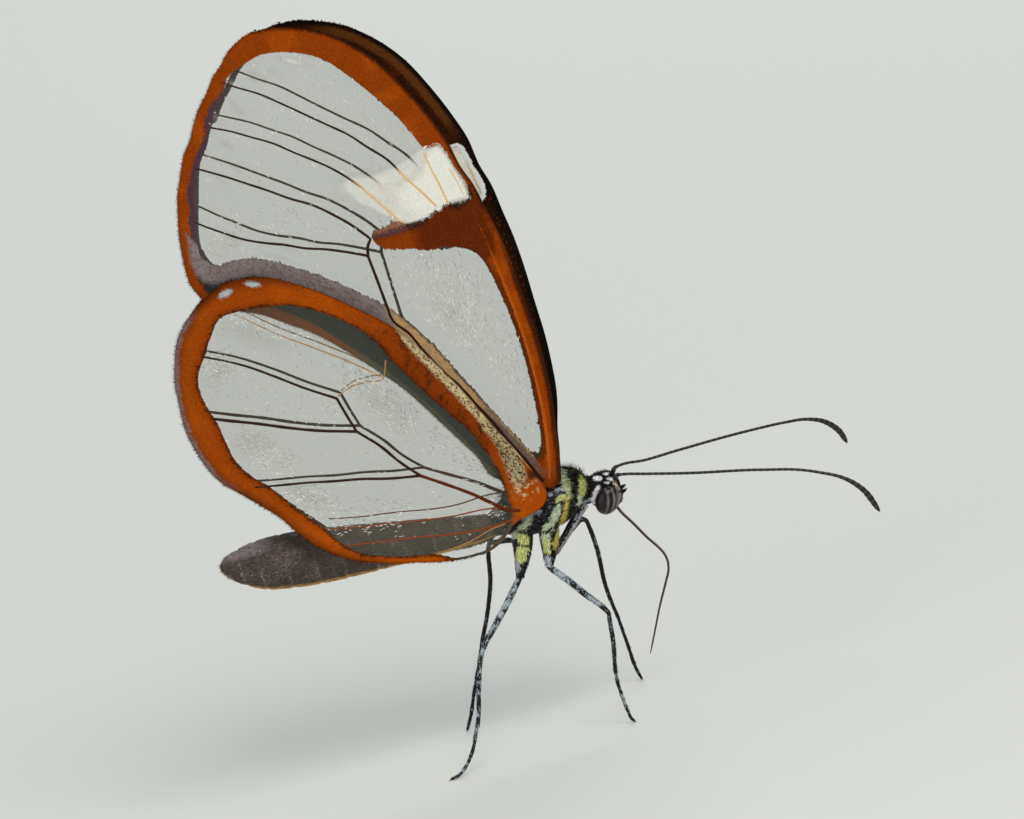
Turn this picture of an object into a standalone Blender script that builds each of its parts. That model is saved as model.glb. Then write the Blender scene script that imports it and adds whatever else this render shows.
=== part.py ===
"""Glasswing butterfly at life size, standing on four legs with its wings closed.

The butterfly faces +X, its left side is +Y and it stands on the floor at Z = 0.
The sizes below are in millimetres, and MM turns them into metres.
"""
import math

import bmesh
import bpy
from mathutils import Matrix, Vector
from mathutils.geometry import delaunay_2d_cdt, intersect_point_line

MM = 0.001

# Gaps and least sizes that the separate pieces keep
GAP = 0.3
LEAST_RADIUS = 0.25
WELD = 0.001
WING_HALF_THICKNESS = 0.25

# Wings: how far each pair stands from the middle plane, and how it flares at its root
FOREWING_OFFSET = 0.55
FOREWING_ROOT_FLARE = 0.65
FOREWING_FLARE_REACH = 2.6
HINDWING_OFFSET = 1.45
HINDWING_BELLY_FLARE = 0.6
HINDWING_FLARE_TOP = 17.6
HINDWING_FLARE_BOTTOM = 13.4
WING_ROOT = (0.6, 13.4)

# The left wings sit a little ahead of the right ones and lower
LEFT_FOREWING_TURN = math.radians(2.6)
LEFT_FOREWING_DROP = 0.5
LEFT_HINDWING_STEP = (0.1, -0.35)
LEFT_STEP_START = 1.0
LEFT_STEP_FULL = 6.0

# Veins: ridges raised on both faces of a wing
VEIN_RISE = 0.1
VEIN_HALF_WIDTH = 0.24
VEIN_POINT_STEP = 1.05
OUTLINE_STEP = 0.95
MEMBRANE_STEP = 2.1
VEIN_EDGE_CLEARANCE = 0.45
MEMBRANE_CLEARANCE = 0.95
LAYOUT_WELD = 0.02

# Forewing outline as (X, Z) runs between its corners, from the root round the tip
FOREWING_RUNS = (
    ((1.45, 13.4), (2.13, 16.0), (2.48, 18.8), (2.5, 23.0), (1.92, 28.5), (0.54, 33.9),
     (-1.5, 37.9), (-4.0, 40.5), (-6.5, 41.6), (-8.0, 41.4), (-9.7, 40.2), (-12.0, 37.7),
     (-13.95, 34.0), (-14.65, 30.1), (-14.3, 28.3)),
    ((-14.3, 28.3), (-11.4, 26.45), (-8.1, 23.8), (-5.2, 20.3), (-3.4, 17.2), (-2.0, 14.6),
     (-1.3, 13.9)),
    ((-1.3, 13.9), (0.3, 13.4)),
    ((0.3, 13.4), (1.45, 13.4)),
)

# Forewing veins as (X, Z) lines
FOREWING_VEINS = (
    ((0.6, 14.2), (-0.55, 16.0), (-1.7, 18.5), (-2.8, 20.6), (-4.0, 23.2), (-4.7, 25.0), (-4.9, 28.0)),
    ((0.9, 14.2), (1.45, 17.0), (1.6, 21.0), (1.2, 25.4), (0.75, 28.8), (-0.3, 32.3), (-2.0, 35.9),
     (-4.4, 38.9), (-7.0, 40.5)),
    ((0.75, 28.8), (-1.2, 28.6), (-3.2, 28.7), (-4.5, 28.8), (-4.9, 28.0)),
    ((-0.6, 29.5), (-1.75, 31.5), (-3.25, 33.7), (-6.0, 36.4), (-9.7, 39.3)),
    ((-2.2, 28.6), (-3.5, 30.4), (-5.25, 32.65), (-8.0, 34.95), (-11.06, 37.1)),
    ((-4.5, 28.8), (-6.0, 30.6), (-9.0, 32.9), (-12.4, 35.3)),
    ((-4.9, 28.0), (-8.0, 29.3), (-11.0, 30.7), (-13.4, 32.5)),
    ((-0.7, 15.6), (-3.6, 20.2), (-6.6, 24.2), (-10.2, 27.6), (-13.2, 29.3)),
)

# Hindwing outline as (X, Z) runs between its corners, from the root round the margin
HINDWING_RUNS = (
    ((0.65, 13.1), (0.2, 14.5), (-1.1, 17.3), (-3.1, 21.8), (-6.0, 25.3), (-10.2, 28.45),
     (-12.8, 28.85), (-14.6, 28.0), (-16.65, 25.4), (-17.05, 22.5), (-16.65, 19.65),
     (-15.3, 17.5), (-12.9, 14.8), (-10.5, 12.6), (-6.9, 11.45), (-3.4, 10.95)),
    ((-3.4, 10.95), (-2.1, 11.75), (-0.9, 12.1)),
    ((-0.9, 12.1), (0.1, 12.25), (0.55, 12.65), (0.65, 13.1)),
)

# Hindwing veins as (X, Z) lines
HINDWING_VEINS = (
    ((-0.9, 12.9), (-2.2, 13.3), (-4.3, 14.9), (-5.6, 15.8), (-8.7, 16.55), (-13.8, 17.7)),
    ((-5.6, 15.8), (-6.8, 17.3), (-8.2, 19.05), (-8.7, 21.1)),
    ((-8.2, 19.05), (-11.65, 20.3), (-15.9, 22.2)),
    ((-8.7, 21.1), (-11.65, 23.3), (-15.5, 25.7)),
    ((-8.7, 21.1), (-7.2, 21.6), (-6.0, 21.5), (-7.2, 22.6), (-9.9, 24.7), (-13.0, 27.5)),
    ((-0.6, 13.6), (-1.9, 16.6), (-4.6, 21.6), (-6.7, 24.9)),
    ((-1.3, 12.6), (-5.8, 13.4), (-11.2, 14.4)),
    ((-1.7, 12.1), (-5.0, 12.3), (-10.6, 13.4)),
)

# The neck and the waist, where the head and the abdomen meet the thorax
NECK_X = 2.55
WAIST_X = -2.6

# Thorax sections as (X, bottom Z, widest Z, top Z, half width)
THORAX_SECTIONS = (
    (NECK_X, 11.55, 12.2, 12.9, 0.6),
    (2.25, 11.35, 12.1, 13.5, 1.0),
    (1.6, 10.95, 11.9, 13.85, 1.35),
    (0.6, 10.65, 11.6, 14.05, 1.5),
    (-0.4, 10.6, 11.5, 14.0, 1.5),
    (-1.4, 10.75, 11.6, 13.5, 1.35),
    (-2.2, 11.0, 11.7, 12.8, 1.0),
    (WAIST_X, 11.1, 11.75, 12.4, 0.75),
)
THORAX_RINGS = 17
THORAX_SIDES = 24
THORAX_ROOF_POWER = 2.2

# Abdomen sections as (X, middle Z, half height, half width)
ABDOMEN_SECTIONS = (
    (WAIST_X - GAP, 11.72, 0.68, 0.65),
    (-4.2, 11.8, 0.85, 0.78),
    (-6.0, 12.02, 1.04, 0.92),
    (-8.0, 12.25, 1.22, 1.02),
    (-10.0, 12.5, 1.4, 1.1),
    (-12.0, 12.74, 1.53, 1.15),
    (-14.0, 13.0, 1.53, 1.14),
    (-15.4, 13.17, 1.37, 1.02),
    (-16.4, 13.35, 1.02, 0.78),
    (-17.05, 13.5, 0.66, 0.52),
    (-17.45, 13.6, 0.27, 0.22),
)
ABDOMEN_JOINTS = (-4.3, -5.9, -7.5, -9.2, -10.9, -12.4, -13.9, -15.3, -16.3)
ABDOMEN_GROOVE = 0.05
ABDOMEN_GROOVE_HALF = 0.16
ABDOMEN_SIDES = 18

# Head: its middle, its roll towards the right side, and its sections as the thorax's
HEAD_MIDDLE = (3.6, 0.0, 11.8)
HEAD_ROLL = math.radians(12.0)
HEAD_SECTIONS = (
    (NECK_X + GAP - HEAD_MIDDLE[0], -0.35, 0.15, 0.65, 0.42),
    (-0.6, -0.65, 0.05, 0.95, 0.5),
    (-0.3, -0.98, -0.1, 1.13, 0.52),
    (0.1, -1.12, -0.15, 1.16, 0.52),
    (0.45, -1.02, 0.0, 1.07, 0.5),
    (0.68, -0.8, 0.05, 0.85, 0.42),
    (0.82, -0.45, 0.1, 0.5, 0.25),
)
HEAD_RINGS = 12
HEAD_SIDES = 20
HEAD_ROOF_POWER = 1.0
EYE_MIDDLE = (-0.02, 0.8, -0.28)
EYE_RADII = (0.7, 0.48, 0.76)
EYE_SEGMENTS = 20
EYE_RINGS = 12
PALP_LINE = ((0.45, 0.2, -0.65), (0.85, 0.27, -0.62), (1.05, 0.29, -0.3), (1.2, 0.32, 0.0))
PALP_RADII = (0.25, 0.25, 0.22, 0.07)

# Feelers and tongue, root to tip
ANTENNA_RIGHT_LINE = (
    (4.62, -0.6, 12.5), (6.0, -0.8, 12.2), (8.05, -1.1, 11.69), (12.1, -1.8, 10.83),
    (15.12, -2.25, 9.88), (16.52, -2.4, 9.0), (17.2, -2.45, 8.0), (17.5, -2.5, 7.15),
)
ANTENNA_LEFT_LINE = (
    (4.6, 0.3, 12.7), (6.0, 0.7, 12.63), (7.93, 1.3, 12.5), (11.86, 2.6, 12.15),
    (13.83, 3.3, 11.87), (14.81, 3.7, 11.67), (15.79, 4.05, 11.14), (16.38, 4.3, 10.39),
    (16.57, 4.4, 9.77),
)
ANTENNA_CLUB_RADIUS = 0.28
ANTENNA_TIP_RADIUS = 0.12
PROBOSCIS_TIP_RADIUS = 0.1
PROBOSCIS_LINE = (
    (3.98, 0.0, 10.42), (4.45, 0.0, 9.6), (5.45, 0.0, 7.95), (5.68, 0.0, 7.25),
    (5.5, 0.0, 6.55), (4.6, 0.0, 4.85), (3.3, 0.0, 2.55),
)

# Hips: where a leg's first length starts below the thorax, and its radius there
HIP_HIND = (-1.3, 0.9)
HIP_MID = (0.15, 0.95)
HIP_RADIUS = 0.48
HIP_TILT_ROOM = 0.12

# Legs below their hips down to the foot, each point with its radius
LEG_HIND_RIGHT_LINE = (
    (-1.75, -1.05, 9.45, 0.4), (-2.14, -1.2, 8.72, 0.3),
    (-2.9, -1.85, 8.0, 0.3), (-4.0, -2.75, 7.02, 0.29), (-4.9, -3.5, 6.24, 0.27),
    (-5.2, -3.8, 5.8, 0.27), (-5.75, -4.2, 4.4, 0.25), (-6.41, -4.65, 2.45, 0.26),
    (-7.0, -4.95, 1.3, 0.25), (-7.7, -5.15, 0.5, 0.25), (-8.15, -5.24, 0.2, 0.25),
    (-8.6, -5.32, 0.14, 0.25),
)
LEG_MID_RIGHT_LINE = (
    (-0.15, -1.15, 9.5, 0.4), (-0.42, -1.3, 8.9, 0.3),
    (0.2, -1.85, 8.2, 0.3), (1.1, -2.6, 7.13, 0.29), (1.9, -3.3, 6.22, 0.27),
    (2.0, -3.45, 5.95, 0.27), (1.83, -3.65, 4.6, 0.25), (1.43, -3.88, 2.9, 0.26),
    (1.43, -4.05, 1.6, 0.25), (1.62, -4.25, -0.12, 0.25),
)
LEG_HIND_LEFT_LINE = (
    (-1.62, 1.3, 10.2, 0.38), (-1.95, 1.85, 10.05, 0.3),
    (-2.5, 2.8, 9.95, 0.3), (-3.1, 3.85, 9.85, 0.29), (-3.5, 4.65, 9.75, 0.27),
    (-3.65, 4.9, 9.4, 0.27), (-4.0, 5.05, 7.8, 0.25), (-4.7, 5.15, 6.0, 0.26),
    (-5.5, 5.2, 4.4, 0.25), (-6.5, 5.25, 2.3, 0.25), (-7.7, 5.3, -0.12, 0.25),
)
LEG_MID_LEFT_LINE = (
    (-0.15, 1.15, 9.5, 0.4), (-0.3, 1.4, 9.0, 0.3),
    (0.35, 2.4, 9.25, 0.3), (1.1, 3.45, 9.55, 0.29), (1.8, 4.4, 9.7, 0.27),
    (1.95, 4.65, 9.4, 0.27), (2.0, 4.85, 7.8, 0.25), (1.85, 5.0, 5.6, 0.26),
    (1.95, 5.1, 4.4, 0.25), (2.2, 5.25, -0.12, 0.25),
)
FORELEG_LINE = ((2.35, 0.62, 10.86), (1.25, 0.6, 9.9), (0.5, 0.55, 9.28))
FORELEG_RADII = (0.26, 0.25, 0.14)

# How finely tubes are stepped along their length, and sections are searched
SECTION_SEARCH_STEP = 0.05
TUBE_STEP = 0.75
TUBE_RESOLUTION = 2
FLOOR_CUTTER_SIZE = 40.0

# Finish of the pieces
ROUGHNESS = 0.55
SHARP_ANGLE = math.radians(40.0)
COLOURS = {
    "head": (0.03, 0.028, 0.026),
    "eye": (0.09, 0.06, 0.05),
    "thorax": (0.06, 0.06, 0.04),
    "abdomen": (0.1, 0.075, 0.07),
    "antenna": (0.02, 0.02, 0.022),
    "proboscis": (0.03, 0.02, 0.018),
    "wing": (0.42, 0.17, 0.05),
    "leg": (0.05, 0.05, 0.055),
    "foreleg": (0.3, 0.27, 0.28),
}


def clear_scene():
    """Remove every object, so that the script starts from an empty scene."""
    for thing in list(bpy.data.objects):
        bpy.data.objects.remove(thing, do_unlink=True)


def make_collection(name):
    """A new collection under the scene's own."""
    collection = bpy.data.collections.new(name)
    bpy.context.scene.collection.children.link(collection)
    return collection


def make_material(name, colour, roughness):
    """A Principled material in one colour."""
    material = bpy.data.materials.new(name)
    material.use_nodes = True
    shader = material.node_tree.nodes["Principled BSDF"]
    shader.inputs["Base Color"].default_value = (*colour, 1.0)
    shader.inputs["Roughness"].default_value = roughness
    material.diffuse_color = (*colour, 1.0)
    return material


def smooth_step(low, high, value):
    """0 below low, 1 above high and an S curve between them."""
    t = min(max((value - low) / (high - low), 0.0), 1.0)
    return t * t * (3.0 - 2.0 * t)


def smooth_line(points, step):
    """Points about one step apart on a smooth curve through the given points.

    The curve is a cubic in each span. Its slope at a point is that of the
    parabola through the point and its two neighbours, by chord length.
    """
    knots = [Vector(point) for point in points]
    if len(knots) == 2:
        count = max(1, round((knots[1] - knots[0]).length / step))
        return [knots[0].lerp(knots[1], i / count) for i in range(count + 1)]
    spans = [(b - a).length for a, b in zip(knots, knots[1:])]
    rates = [(b - a) / span for a, b, span in zip(knots, knots[1:], spans)]
    slopes = [rates[0]]
    for i in range(1, len(knots) - 1):
        before, after = spans[i - 1], spans[i]
        slopes.append((rates[i - 1] * after + rates[i] * before) / (before + after))
    slopes.append(rates[-1])
    line = [knots[0]]
    for i, span in enumerate(spans):
        count = max(1, round(span / step))
        for k in range(1, count + 1):
            t = k / count
            line.append(knots[i] * (2 * t ** 3 - 3 * t ** 2 + 1)
                        + slopes[i] * span * (t ** 3 - 2 * t ** 2 + t)
                        + knots[i + 1] * (3 * t ** 2 - 2 * t ** 3)
                        + slopes[i + 1] * span * (t ** 3 - t ** 2))
    return line


def link_mesh(name, mesh, collection, material):
    """An object for a mesh, smooth apart from its sharp edges."""
    mesh.materials.clear()
    mesh.materials.append(material)
    mesh.shade_smooth()
    mesh.set_sharp_from_angle(angle=SHARP_ANGLE)
    thing = bpy.data.objects.new(name, mesh)
    collection.objects.link(thing)
    return thing


def mesh_from_bmesh(name, bm):
    """A mesh in metres from a bmesh in millimetres, with its faces turned out."""
    bmesh.ops.recalc_face_normals(bm, faces=bm.faces)
    bmesh.ops.scale(bm, vec=(MM, MM, MM), verts=bm.verts)
    mesh = bpy.data.meshes.new(name)
    bm.to_mesh(mesh)
    bm.free()
    return mesh


def make_tube(name, points, radii, collection, material):
    """A round tube along a smooth line, from a curve that is then made a mesh.

    The radius is carried as a fourth coordinate, so it is smoothed with the line.
    """
    knots = [(*point, radius) for point, radius in zip(points, radii)]
    line = smooth_line(knots, TUBE_STEP)
    curve = bpy.data.curves.new(name, "CURVE")
    curve.dimensions = "3D"
    curve.bevel_depth = MM
    curve.bevel_resolution = TUBE_RESOLUTION
    curve.use_fill_caps = True
    spline = curve.splines.new("POLY")
    spline.points.add(len(line) - 1)
    for place, knot in zip(spline.points, line):
        place.co = (knot[0] * MM, knot[1] * MM, knot[2] * MM, 1.0)
        place.radius = knot[3]
    guide = bpy.data.objects.new(name + "_line", curve)
    collection.objects.link(guide)
    graph = bpy.context.evaluated_depsgraph_get()
    mesh = bpy.data.meshes.new_from_object(guide.evaluated_get(graph))
    bpy.data.objects.remove(guide, do_unlink=True)
    bm = bmesh.new()
    bm.from_mesh(mesh)
    bmesh.ops.remove_doubles(bm, verts=bm.verts, dist=WELD * MM)
    bmesh.ops.recalc_face_normals(bm, faces=bm.faces)
    bm.to_mesh(mesh)
    bm.free()
    return link_mesh(name, mesh, collection, material)


def make_loft(name, rings):
    """A closed mesh through rings of as many points each, with flat ends."""
    bm = bmesh.new()
    loops = [[bm.verts.new(point) for point in ring] for ring in rings]
    for near, far in zip(loops, loops[1:]):
        for i in range(len(near)):
            j = (i + 1) % len(near)
            bm.faces.new((near[i], near[j], far[j], far[i]))
    bm.faces.new(loops[0][::-1])
    bm.faces.new(loops[-1])
    return mesh_from_bmesh(name, bm)


def roofed_ring(section, sides, roof_power):
    """A ring across X: half an ellipse below its widest level, a roof above it.

    Above that level the half width falls as the cosine raised to the roof's power.
    """
    x, bottom, middle, top, half_width = section
    ring = []
    for i in range(sides):
        angle = 2.0 * math.pi * i / sides
        across = math.cos(angle)
        up = math.sin(angle)
        if up > 0.0:
            across = math.copysign(abs(across) ** roof_power, across)
        reach = top - middle if up > 0.0 else middle - bottom
        ring.append((x, half_width * across, middle + reach * up))
    return ring


def make_thorax(collection, material):
    """The thorax, a loft from the neck to the waist, slim between the wing roots."""
    span = THORAX_SECTIONS[0][0] - THORAX_SECTIONS[-1][0]
    sections = smooth_line(THORAX_SECTIONS, span / THORAX_RINGS)
    rings = [roofed_ring(section, THORAX_SIDES, THORAX_ROOF_POWER) for section in sections]
    return link_mesh("thorax", make_loft("thorax", rings), collection, material)


def make_abdomen(collection, material):
    """The abdomen, a flattened loft with a shallow groove at each joint of its rings."""
    places = [place + side for place in ABDOMEN_JOINTS
              for side in (-ABDOMEN_GROOVE_HALF, 0.0, ABDOMEN_GROOVE_HALF)]
    sections = smooth_line(ABDOMEN_SECTIONS, SECTION_SEARCH_STEP)
    places += [section[0] for section in ABDOMEN_SECTIONS[:1] + ABDOMEN_SECTIONS[-2:]]
    rings = []
    for x in sorted(places, reverse=True):
        section = min(sections, key=lambda candidate: abs(candidate[0] - x))
        groove = ABDOMEN_GROOVE if x in ABDOMEN_JOINTS else 0.0
        _, middle, half_height, half_width = section
        ring = []
        for i in range(ABDOMEN_SIDES):
            angle = 2.0 * math.pi * i / ABDOMEN_SIDES
            ring.append((x, (half_width - groove) * math.cos(angle),
                         middle + (half_height - groove) * math.sin(angle)))
        rings.append(ring)
    return link_mesh("abdomen", make_loft("abdomen", rings), collection, material)


def make_head_pivot(collection):
    """The empty that carries the head's pieces at the head's place and roll."""
    pivot = bpy.data.objects.new("head_pivot", None)
    pivot.empty_display_size = MM
    pivot.location = Vector(HEAD_MIDDLE) * MM
    pivot.rotation_euler = (HEAD_ROLL, 0.0, 0.0)
    collection.objects.link(pivot)
    return pivot


def make_head(collection, material, pivot):
    """The head's core with its two palps, joined into one body."""
    span = HEAD_SECTIONS[-1][0] - HEAD_SECTIONS[0][0]
    sections = smooth_line(HEAD_SECTIONS, span / HEAD_RINGS)
    rings = [roofed_ring(section, HEAD_SIDES, HEAD_ROOF_POWER) for section in sections]
    head = link_mesh("head", make_loft("head", rings), collection, material)
    palps = make_collection("palps")
    for side in (-1, 1):
        line = [(x, side * y, z) for x, y, z in PALP_LINE]
        make_tube("palp", line, PALP_RADII, palps, material)
    union = head.modifiers.new("palps", "BOOLEAN")
    union.operation = "UNION"
    union.operand_type = "COLLECTION"
    union.collection = palps
    graph = bpy.context.evaluated_depsgraph_get()
    joined = bpy.data.meshes.new_from_object(head.evaluated_get(graph))
    head.modifiers.clear()
    head.data = joined
    for palp in list(palps.objects):
        bpy.data.objects.remove(palp, do_unlink=True)
    bpy.data.collections.remove(palps)
    head.parent = pivot
    return head


def make_eye(name, side, collection, material, pivot):
    """A bulging eye: the outer half of an ellipsoid, flat where it meets the head."""
    bm = bmesh.new()
    turn = Matrix.Rotation(math.radians(90.0), 4, "X")
    bmesh.ops.create_uvsphere(bm, u_segments=EYE_SEGMENTS, v_segments=EYE_RINGS, radius=1.0, matrix=turn)
    whole = list(bm.verts) + list(bm.edges) + list(bm.faces)
    bmesh.ops.bisect_plane(bm, geom=whole, plane_co=(0, 0, 0), plane_no=(0, -side, 0), clear_outer=True)
    rim = [edge for edge in bm.edges if edge.is_boundary]
    bmesh.ops.holes_fill(bm, edges=rim)
    bmesh.ops.scale(bm, vec=EYE_RADII, verts=bm.verts)
    bmesh.ops.translate(bm, vec=(EYE_MIDDLE[0], side * EYE_MIDDLE[1], EYE_MIDDLE[2]), verts=bm.verts)
    eye = link_mesh(name, mesh_from_bmesh(name, bm), collection, material)
    eye.parent = pivot
    return eye


def forewing_plane(x, z):
    """Distance of the forewing's middle surface from the middle plane."""
    reach = math.hypot(x - WING_ROOT[0], z - WING_ROOT[1])
    return FOREWING_OFFSET + FOREWING_ROOT_FLARE * math.exp(-(reach / FOREWING_FLARE_REACH) ** 2)


def hindwing_plane(x, z):
    """Distance of the hindwing's middle surface, which flares out past the abdomen."""
    flare = 1.0 - smooth_step(HINDWING_FLARE_BOTTOM, HINDWING_FLARE_TOP, z)
    return HINDWING_OFFSET + HINDWING_BELLY_FLARE * flare


def left_step(point, turn, step):
    """Where a point of a right wing lies on the left one: turned and moved, but not at the root."""
    x, z = point
    reach = math.hypot(x - WING_ROOT[0], z - WING_ROOT[1])
    share = smooth_step(LEFT_STEP_START, LEFT_STEP_FULL, reach)
    dx = x - WING_ROOT[0]
    dz = z - WING_ROOT[1]
    moved_x = WING_ROOT[0] + dx * math.cos(turn) + dz * math.sin(turn) + step[0]
    moved_z = WING_ROOT[1] + dz * math.cos(turn) - dx * math.sin(turn) + step[1]
    return (x + share * (moved_x - x), z + share * (moved_z - z))


def line_distance(point, lines):
    """Distance of a point from the nearest of some lines."""
    best = math.inf
    for line in lines:
        for a, b in zip(line, line[1:]):
            foot, share = intersect_point_line(point, a, b)
            share = min(max(share, 0.0), 1.0)
            best = min(best, (point - a.lerp(b, share)).length)
    return best


def side_line(line, offset):
    """The line that runs beside another at a fixed offset."""
    beside = []
    for i, point in enumerate(line):
        ahead = line[min(i + 1, len(line) - 1)] - line[max(i - 1, 0)]
        normal = Vector((-ahead.y, ahead.x)).normalized()
        beside.append(point + normal * offset)
    return beside


def wing_layout(runs, veins):
    """The wing's flat triangles: its outline, its veins with a line each side, and the membrane."""
    outline = []
    for run in runs:
        outline += smooth_line(run, OUTLINE_STEP)[:-1]
    edge = outline + outline[:1]
    lines = [smooth_line(vein, VEIN_POINT_STEP) for vein in veins]
    points = list(outline)
    links = [(i, (i + 1) % len(outline)) for i in range(len(outline))]
    for index, line in enumerate(lines):
        inside = [p for p in line if line_distance(p, [edge]) > VEIN_EDGE_CLEARANCE]
        start = len(points)
        points += inside
        links += [(start + i, start + i + 1) for i in range(len(inside) - 1)]
        others = lines[:index] + lines[index + 1:]
        for offset in (-VEIN_HALF_WIDTH, VEIN_HALF_WIDTH):
            kept_before = False
            for p in side_line(inside, offset):
                near_vein = line_distance(p, others) < VEIN_HALF_WIDTH * 1.5
                near_own = line_distance(p, [inside]) < VEIN_HALF_WIDTH * 0.9
                kept = not near_vein and not near_own and line_distance(p, [edge]) > VEIN_HALF_WIDTH
                if kept:
                    points.append(p)
                if kept and kept_before:
                    links.append((len(points) - 2, len(points) - 1))
                kept_before = kept
    xs = [p.x for p in outline]
    zs = [p.y for p in outline]
    rows = int((max(zs) - min(zs)) / MEMBRANE_STEP)
    columns = int((max(xs) - min(xs)) / MEMBRANE_STEP)
    for row in range(rows + 1):
        for column in range(columns + 1):
            shift = 0.5 * (row % 2)
            p = Vector((min(xs) + (column + shift) * MEMBRANE_STEP, min(zs) + row * MEMBRANE_STEP))
            if line_distance(p, lines + [edge]) > MEMBRANE_CLEARANCE:
                points.append(p)
    face = list(range(len(outline)))
    result = delaunay_2d_cdt(points, links, [face], 1, LAYOUT_WELD)
    return result[0], result[2], lines


def make_wing(name, side, runs, veins, plane, collection, material):
    """A wing as one closed plate: alike triangles on both faces, with each vein raised."""
    flat, triangles, lines = wing_layout(runs, veins)
    bm = bmesh.new()
    sheets = {}
    for way in (-1, 1):
        verts = []
        for p in flat:
            rise = 1.0 - smooth_step(0.0, VEIN_HALF_WIDTH, line_distance(p, lines))
            half = WING_HALF_THICKNESS + VEIN_RISE * rise
            verts.append(bm.verts.new((p.x, side * plane(p.x, p.y) + way * half, p.y)))
        sheets[way] = verts
        for triangle in triangles:
            corners = [verts[i] for i in triangle]
            bm.faces.new(corners if way < 0 else corners[::-1])
    sides = {(i, j) for triangle in triangles for i, j in zip(triangle, triangle[1:] + triangle[:1])}
    for i, j in sorted(sides):
        if (j, i) not in sides:
            bm.faces.new((sheets[-1][j], sheets[-1][i], sheets[1][i], sheets[1][j]))
    loose = [vert for vert in bm.verts if not vert.link_faces]
    bmesh.ops.delete(bm, geom=loose, context="VERTS")
    return link_mesh(name, mesh_from_bmesh(name, bm), collection, material)


def make_wings(collection, materials):
    """The four wings, closed over the back, the left pair a little ahead of the right one."""
    pairs = (
        ("wing_fore", FOREWING_RUNS, FOREWING_VEINS, forewing_plane,
         LEFT_FOREWING_TURN, (0.0, -LEFT_FOREWING_DROP)),
        ("wing_hind", HINDWING_RUNS, HINDWING_VEINS, hindwing_plane, 0.0, LEFT_HINDWING_STEP),
    )
    for name, runs, veins, plane, turn, step in pairs:
        make_wing(name + "_right", -1, runs, veins, plane, collection, materials["wing"])
        left_runs = [[left_step(p, turn, step) for p in run] for run in runs]
        left_veins = [[left_step(p, turn, step) for p in vein] for vein in veins]
        make_wing(name + "_left", 1, left_runs, left_veins, plane, collection, materials["wing"])


def make_floor_cutter(cutters):
    """The block below the floor that cuts each foot to a small flat."""
    bm = bmesh.new()
    bmesh.ops.create_cube(bm, size=FLOOR_CUTTER_SIZE)
    bmesh.ops.translate(bm, vec=(0.0, 0.0, -FLOOR_CUTTER_SIZE / 2.0), verts=bm.verts)
    mesh = mesh_from_bmesh("floor_cutter", bm)
    cutter = bpy.data.objects.new("floor_cutter", mesh)
    cutter.hide_render = True
    cutter.display_type = "WIRE"
    cutters.objects.link(cutter)
    return cutter


def thorax_underside(x, y):
    """Height of the thorax's underside at a point of the plan."""
    sections = smooth_line(THORAX_SECTIONS, SECTION_SEARCH_STEP)
    _, bottom, middle, _, half_width = min(sections, key=lambda section: abs(section[0] - x))
    return middle - (middle - bottom) * math.sqrt(max(0.0, 1.0 - (y / half_width) ** 2))


def hip_knot(side, hip):
    """A leg's first point and radius, one gap below the thorax."""
    x, y = hip
    return (x, side * y, thorax_underside(x, y) - GAP - HIP_TILT_ROOM, HIP_RADIUS)


def make_legs(collection, cutters, materials):
    """Four walking legs cut flat at the floor, and two small forelegs tucked under the neck."""
    cutter = make_floor_cutter(cutters)
    walking = (
        ("leg_hind_right", -1, HIP_HIND, LEG_HIND_RIGHT_LINE),
        ("leg_mid_right", -1, HIP_MID, LEG_MID_RIGHT_LINE),
        ("leg_hind_left", 1, HIP_HIND, LEG_HIND_LEFT_LINE),
        ("leg_mid_left", 1, HIP_MID, LEG_MID_LEFT_LINE),
    )
    for name, side, hip, line in walking:
        knots = (hip_knot(side, hip), *line)
        points = [knot[:3] for knot in knots]
        radii = [knot[3] for knot in knots]
        leg = make_tube(name, points, radii, collection, materials["leg"])
        cut = leg.modifiers.new("foot flat", "BOOLEAN")
        cut.operation = "DIFFERENCE"
        cut.object = cutter
    for name, side in (("leg_fore_right", -1), ("leg_fore_left", 1)):
        points = [(x, side * y, z) for x, y, z in FORELEG_LINE]
        make_tube(name, points, FORELEG_RADII, collection, materials["foreleg"])


def make_feelers(collection, materials):
    """The two antennae, each with its slim club, and the proboscis bent at its elbow."""
    lines = {"antenna_right": ANTENNA_RIGHT_LINE, "antenna_left": ANTENNA_LEFT_LINE}
    for name, line in lines.items():
        radii = [LEAST_RADIUS] * (len(line) - 3) + [ANTENNA_CLUB_RADIUS] * 2 + [ANTENNA_TIP_RADIUS]
        make_tube(name, line, radii, collection, materials["antenna"])
    radii = [LEAST_RADIUS] * (len(PROBOSCIS_LINE) - 1) + [PROBOSCIS_TIP_RADIUS]
    make_tube("proboscis", PROBOSCIS_LINE, radii, collection, materials["proboscis"])


def main():
    """Build the whole butterfly."""
    clear_scene()
    butterfly = make_collection("glasswing_butterfly")
    cutters = make_collection("cutters")
    materials = {name: make_material(name, colour, ROUGHNESS) for name, colour in COLOURS.items()}
    make_thorax(butterfly, materials["thorax"])
    make_abdomen(butterfly, materials["abdomen"])
    pivot = make_head_pivot(butterfly)
    make_head(butterfly, materials["head"], pivot)
    make_eye("eye_right", -1, butterfly, materials["eye"], pivot)
    make_eye("eye_left", 1, butterfly, materials["eye"], pivot)
    make_wings(butterfly, materials)
    make_legs(butterfly, cutters, materials)
    make_feelers(butterfly, materials)


main()
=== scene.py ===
"""The looks of a glasswing butterfly at life size: clear wings, scales, hairs, body and stage.

Sizes below are in millimetres unless they say otherwise, and MM turns them into metres.
The butterfly faces +X, its left side is +Y, and it stands on the floor at Z = 0.
Wings are worked out in wing space: (x, z) on the right wing and a height h off its middle
sheet, positive on the outer face. wing_place turns that into the butterfly's own space.
"""
import math

import bpy
import numpy as np
from bpy.props import FloatProperty, FloatVectorProperty, PointerProperty
from mathutils import Matrix


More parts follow.
